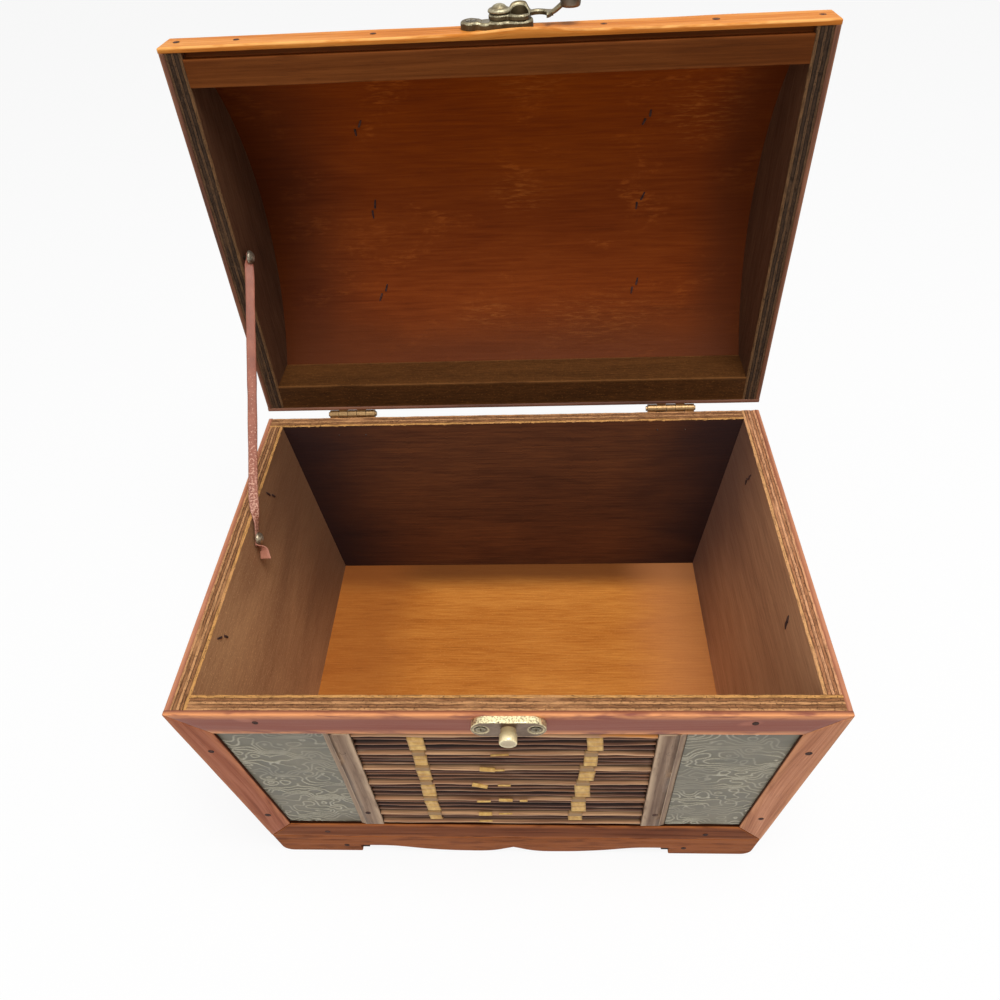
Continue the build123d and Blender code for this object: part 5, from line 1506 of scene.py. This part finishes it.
rivet_dome = [(2.5, 0.02), (6.2, 0.05), (6.6, 0.6), (6.4, 1.4), (5.7, 2.0), (4.6, 2.2), (4.2, 2.6),
              (3.2, 3.5), (1.8, 4.1), (0.3, 4.2)]
rivet = [(0.3, 0.0), (2.5, 0.0)] + [(r, seat + w) for r, w in rivet_dome]
add_lathe(build, rivet, on_hasp, (0, 0), 40, edge=[0, 0, 0, 0, 0.8, 1, 0.9, 0.1, 0.2, 0.7, 1, 1])
build.done("hasp_rivet_head", "lid", CAST, ["hasp_rivet"])

# ------------------------------------------------------------------ stay strap
STRAP_HALF, STRAP_RING = 3.1, 16  # half its width, points round its section
strap_foot_z = RIM_Z - 12.4
stay_foot = np.array([lean_x(-1, IN, strap_foot_z), FRONT_Y + 140.5, strap_foot_z])
foot_out = np.array([cos(FLARE), 0, sin(FLARE)])
stay_head = on_lid(-INNER_X, FRONT_Y + 129.5, LID_Z + 6.5)
low_end = stay_foot + foot_out * (0.3 + 7.0 * tan(FLARE))
high_end = stay_head + np.array([0.3, 0, 0])
length = np.linalg.norm(high_end - low_end)
along = (high_end - low_end) / length
side_out = np.array([1.0, 0, 0]) - along * along[0]
side_out /= np.linalg.norm(side_out)


def flat_section(turn, wide, thick):
    """Section of the strap, turned about its middle line."""
    shape = []
    for m in range(STRAP_RING):
        a = 2 * pi * m / STRAP_RING
        px = np.sign(cos(a)) * abs(cos(a)) ** 0.5 * wide
        py = np.sign(sin(a)) * abs(sin(a)) ** 0.7 * thick
        shape.append((px * cos(turn) - py * sin(turn), px * sin(turn) + py * cos(turn)))
    return shape


def strap_section(i):
    share = run[i] / length
    turn = radians(-72) * float(smooth(0.05, 0.13, share) * smooth(1.0, 0.965, share))
    return flat_section(turn, STRAP_HALF + 0.16 * float(noise(run[i] / 9, 3.0)), 0.72)


def tail_section(i):
    return flat_section(radians(-68) * float(smooth(0.0, 0.5, k[i])), STRAP_HALF + 1.2 * k[i], 0.55)


build = Builder()
run = np.linspace(-5.0, length + 2.5, 110)
bow_at, bow_out = [-0.1, 0.0, 0.06, 0.14, 0.5, 0.95, 1.0, 1.1], [0, 0, 0.1, -1.6, 0.6, 2.6, 2.0, 2.0]
bow = np.interp(run / length, bow_at, bow_out)
bow = np.convolve(np.pad(bow, 4, mode="edge"), np.ones(9) / 9, mode="valid")
path = low_end + np.outer(run, along) + np.outer(0.75 + bow, side_out)
mark = np.repeat(np.clip(1.15 - run / (length * 0.62), 0, 1), STRAP_RING)
rims = np.tile([1, 0.6, 0, 0, 0, 0, 0, 0.6, 1, 0.6, 0, 0, 0, 0, 0, 0.6], len(run))
add_tube(build, path, strap_section, up=side_out, mark=mark, edge=rims)
k = np.linspace(0, 1, 26)
away = 0.8 + 4.0 * smooth(0.0, 0.5, k) + 1.2 * k
tail = low_end - along * 3.0 - np.outer(11.0 * k, along) + np.outer(away, side_out)
tail = tail + np.outer(-1.0 * k**2, np.cross(side_out, along))
bare = np.repeat(0.2 + 0.6 * k, STRAP_RING)
add_tube(build, tail, tail_section, up=side_out + along * 0.6, tone=bare, mark=0.3)
strap = build.done("stay_strap_leather", None, STRAP, ["stay_strap"])
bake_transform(strap)


def on_chest_wall(u, v, w):
    """Inner face of the left wall about the strap's foot: u along +Y, v up the wall, w into the trunk."""
    up_wall = np.array([-sin(FLARE), 0, cos(FLARE)])
    u, v, w = (a[..., None] for a in np.broadcast_arrays(u, v, w))
    return stay_foot + u * np.array([0, 1.0, 0]) + v * up_wall + w * foot_out


def on_lid_wall(u, v, w):
    """Inner face of the lid's left end wall about the strap's head."""
    return stay_head + np.stack(np.broadcast_arrays(w, u, v), -1)


for name, body, node_name, place, foot, material in (
    ("strap_nail_dome", "chest", "strap_nail", on_chest_wall, 2.2, STRAP_NAIL),
    ("strap_rivet_dome", "lid", "strap_rivet", on_lid_wall, 3.4, STRAP_RIVET_SHADED),
):
    head = [(1.2, 0.0), (4.0, 0.1), (4.6, 0.5), (4.5, 1.3), (3.7, 2.5), (2.4, 3.3), (1.0, 3.7), (0.2, 3.7)]
    dome = [(0.3, 0.0), (1.2, 0.0)] + [(r, foot + w) for r, w in head]
    build = Builder()
    add_lathe(build, dome, place, (0, 0), 32, edge=[0, 0, 0, 0.4, 0.6, 0.3, 0.2, 0.5, 0.9, 1.0])
    build.done(name, body, material, [node_name])

# ------------------------------------------------------------------ CAD nodes that keep their shape
looks = {
    "bottom_panel": FLOOR, "foot_blocks": FOOT_SHADED, "catch_screws": SCREW, "hasp_screw": SCREW,
    "hinge_body_leaves": HINGE, "hinge_lid_leaves": HINGE, "hinge_pins": HINGE,
    "hinge_body_screws": SCREW_TIP, "hinge_lid_screws": SCREW,
}
for node_name, material in looks.items():
    for place_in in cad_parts[node_name].material_slots:
        place_in.material = material

# ------------------------------------------------------------------ floor, light, camera
WHITE = (1, 1, 1, 1)
floor_shader = bpy.data.materials.new("studio_floor")
s = Nodes(floor_shader)
pale = s.node("ShaderNodeBsdfDiffuse", [("Color", (0.86, 0.86, 0.86, 1))])
glow = s.node("ShaderNodeEmission", [("Color", WHITE), ("Strength", 1.0)])
seen = s.node("ShaderNodeLightPath", output="Is Camera Ray") * 0.88
both = s.node("ShaderNodeMixShader", [(0, seen), (1, pale), (2, glow)])
s.node("ShaderNodeOutputMaterial", [("Surface", both)])
floor_mesh = bpy.data.meshes.new("floor")
half = 6.0  # metres
corners = [(-half, -half, 0), (half, -half, 0), (half, half, 0), (-half, half, 0)]
floor_mesh.from_pydata(corners, [], [(0, 1, 2, 3)])
floor_mesh.materials.append(floor_shader)
floor = bpy.data.objects.new("floor", floor_mesh)
bpy.context.scene.collection.objects.link(floor)

world = bpy.data.worlds.new("studio")
bpy.context.scene.world = world
s = Nodes(world)
backdrop = s.node("ShaderNodeBackground", [("Color", WHITE), ("Strength", 1.0)])
lit = s.node("ShaderNodeBackground", [("Color", WHITE), ("Strength", 0.42)])
camera_ray, mirror_ray, glass_ray = (
    s.node("ShaderNodeLightPath", output=f"Is {kind} Ray") for kind in ("Camera", "Glossy", "Transmission")
)
direct = s.maths("MAXIMUM", s.maths("MAXIMUM", camera_ray, mirror_ray), glass_ray)
both = s.node("ShaderNodeMixShader", [(0, direct), (1, lit), (2, backdrop)])
s.node("ShaderNodeOutputWorld", [("Surface", both)])


def lamp(name, at, aim, size, power):
    data = bpy.data.lights.new(name, "AREA")
    data.shape = "DISK"
    data.size = size
    data.energy = power
    made = bpy.data.objects.new(name, data)
    bpy.context.scene.collection.objects.link(made)
    made.location = at
    made.rotation_euler = (Vector(aim) - Vector(at)).to_track_quat("-Z", "Y").to_euler()


lamp("overhead", (0.25, -0.35, 2.0), (0, -0.02, 0.15), 1.1, 30)
lamp("front_fill", (-0.6, -2.2, 1.2), (0, 0, 0.2), 1.8, 10)

# the camera solved from the photo; its place is seen from the middle of the rim's front edge
FRAME_PX, SENSOR, FOCAL_PX, MIDDLE_PX = 1000.0, 36.0, 777.1, (504.1, 495.04)
CAMERA_AT = (24.82, -208.47, 388.57)
PITCH_DOWN, YAW, ROLL = radians(45.844), radians(-4.131), radians(-3.7145)
camera_data = bpy.data.cameras.new("camera")
camera_data.sensor_width = SENSOR
camera_data.lens = FOCAL_PX * SENSOR / FRAME_PX
camera_data.shift_x = (FRAME_PX / 2 - MIDDLE_PX[0]) / FRAME_PX
camera_data.shift_y = (MIDDLE_PX[1] - FRAME_PX / 2) / FRAME_PX
camera_data.clip_start = 0.01
camera = bpy.data.objects.new("camera", camera_data)
bpy.context.scene.collection.objects.link(camera)
forward = Vector((sin(YAW) * cos(PITCH_DOWN), cos(YAW) * cos(PITCH_DOWN), -sin(PITCH_DOWN)))
right = Vector((cos(YAW), -sin(YAW), 0))
up = right.cross(forward)
right, up = right * cos(ROLL) + up * sin(ROLL), -right * sin(ROLL) + up * cos(ROLL)
at = (Vector(CAMERA_AT) + Vector((0, FRONT_Y, RIM_Z))) * MM
matrix = Matrix.Identity(4)
for row in range(3):
    matrix[row] = (right[row], up[row], -forward[row], at[row])
camera.matrix_world = matrix
bpy.context.scene.camera = camera
bpy.context.scene.view_settings.view_transform = "Standard"
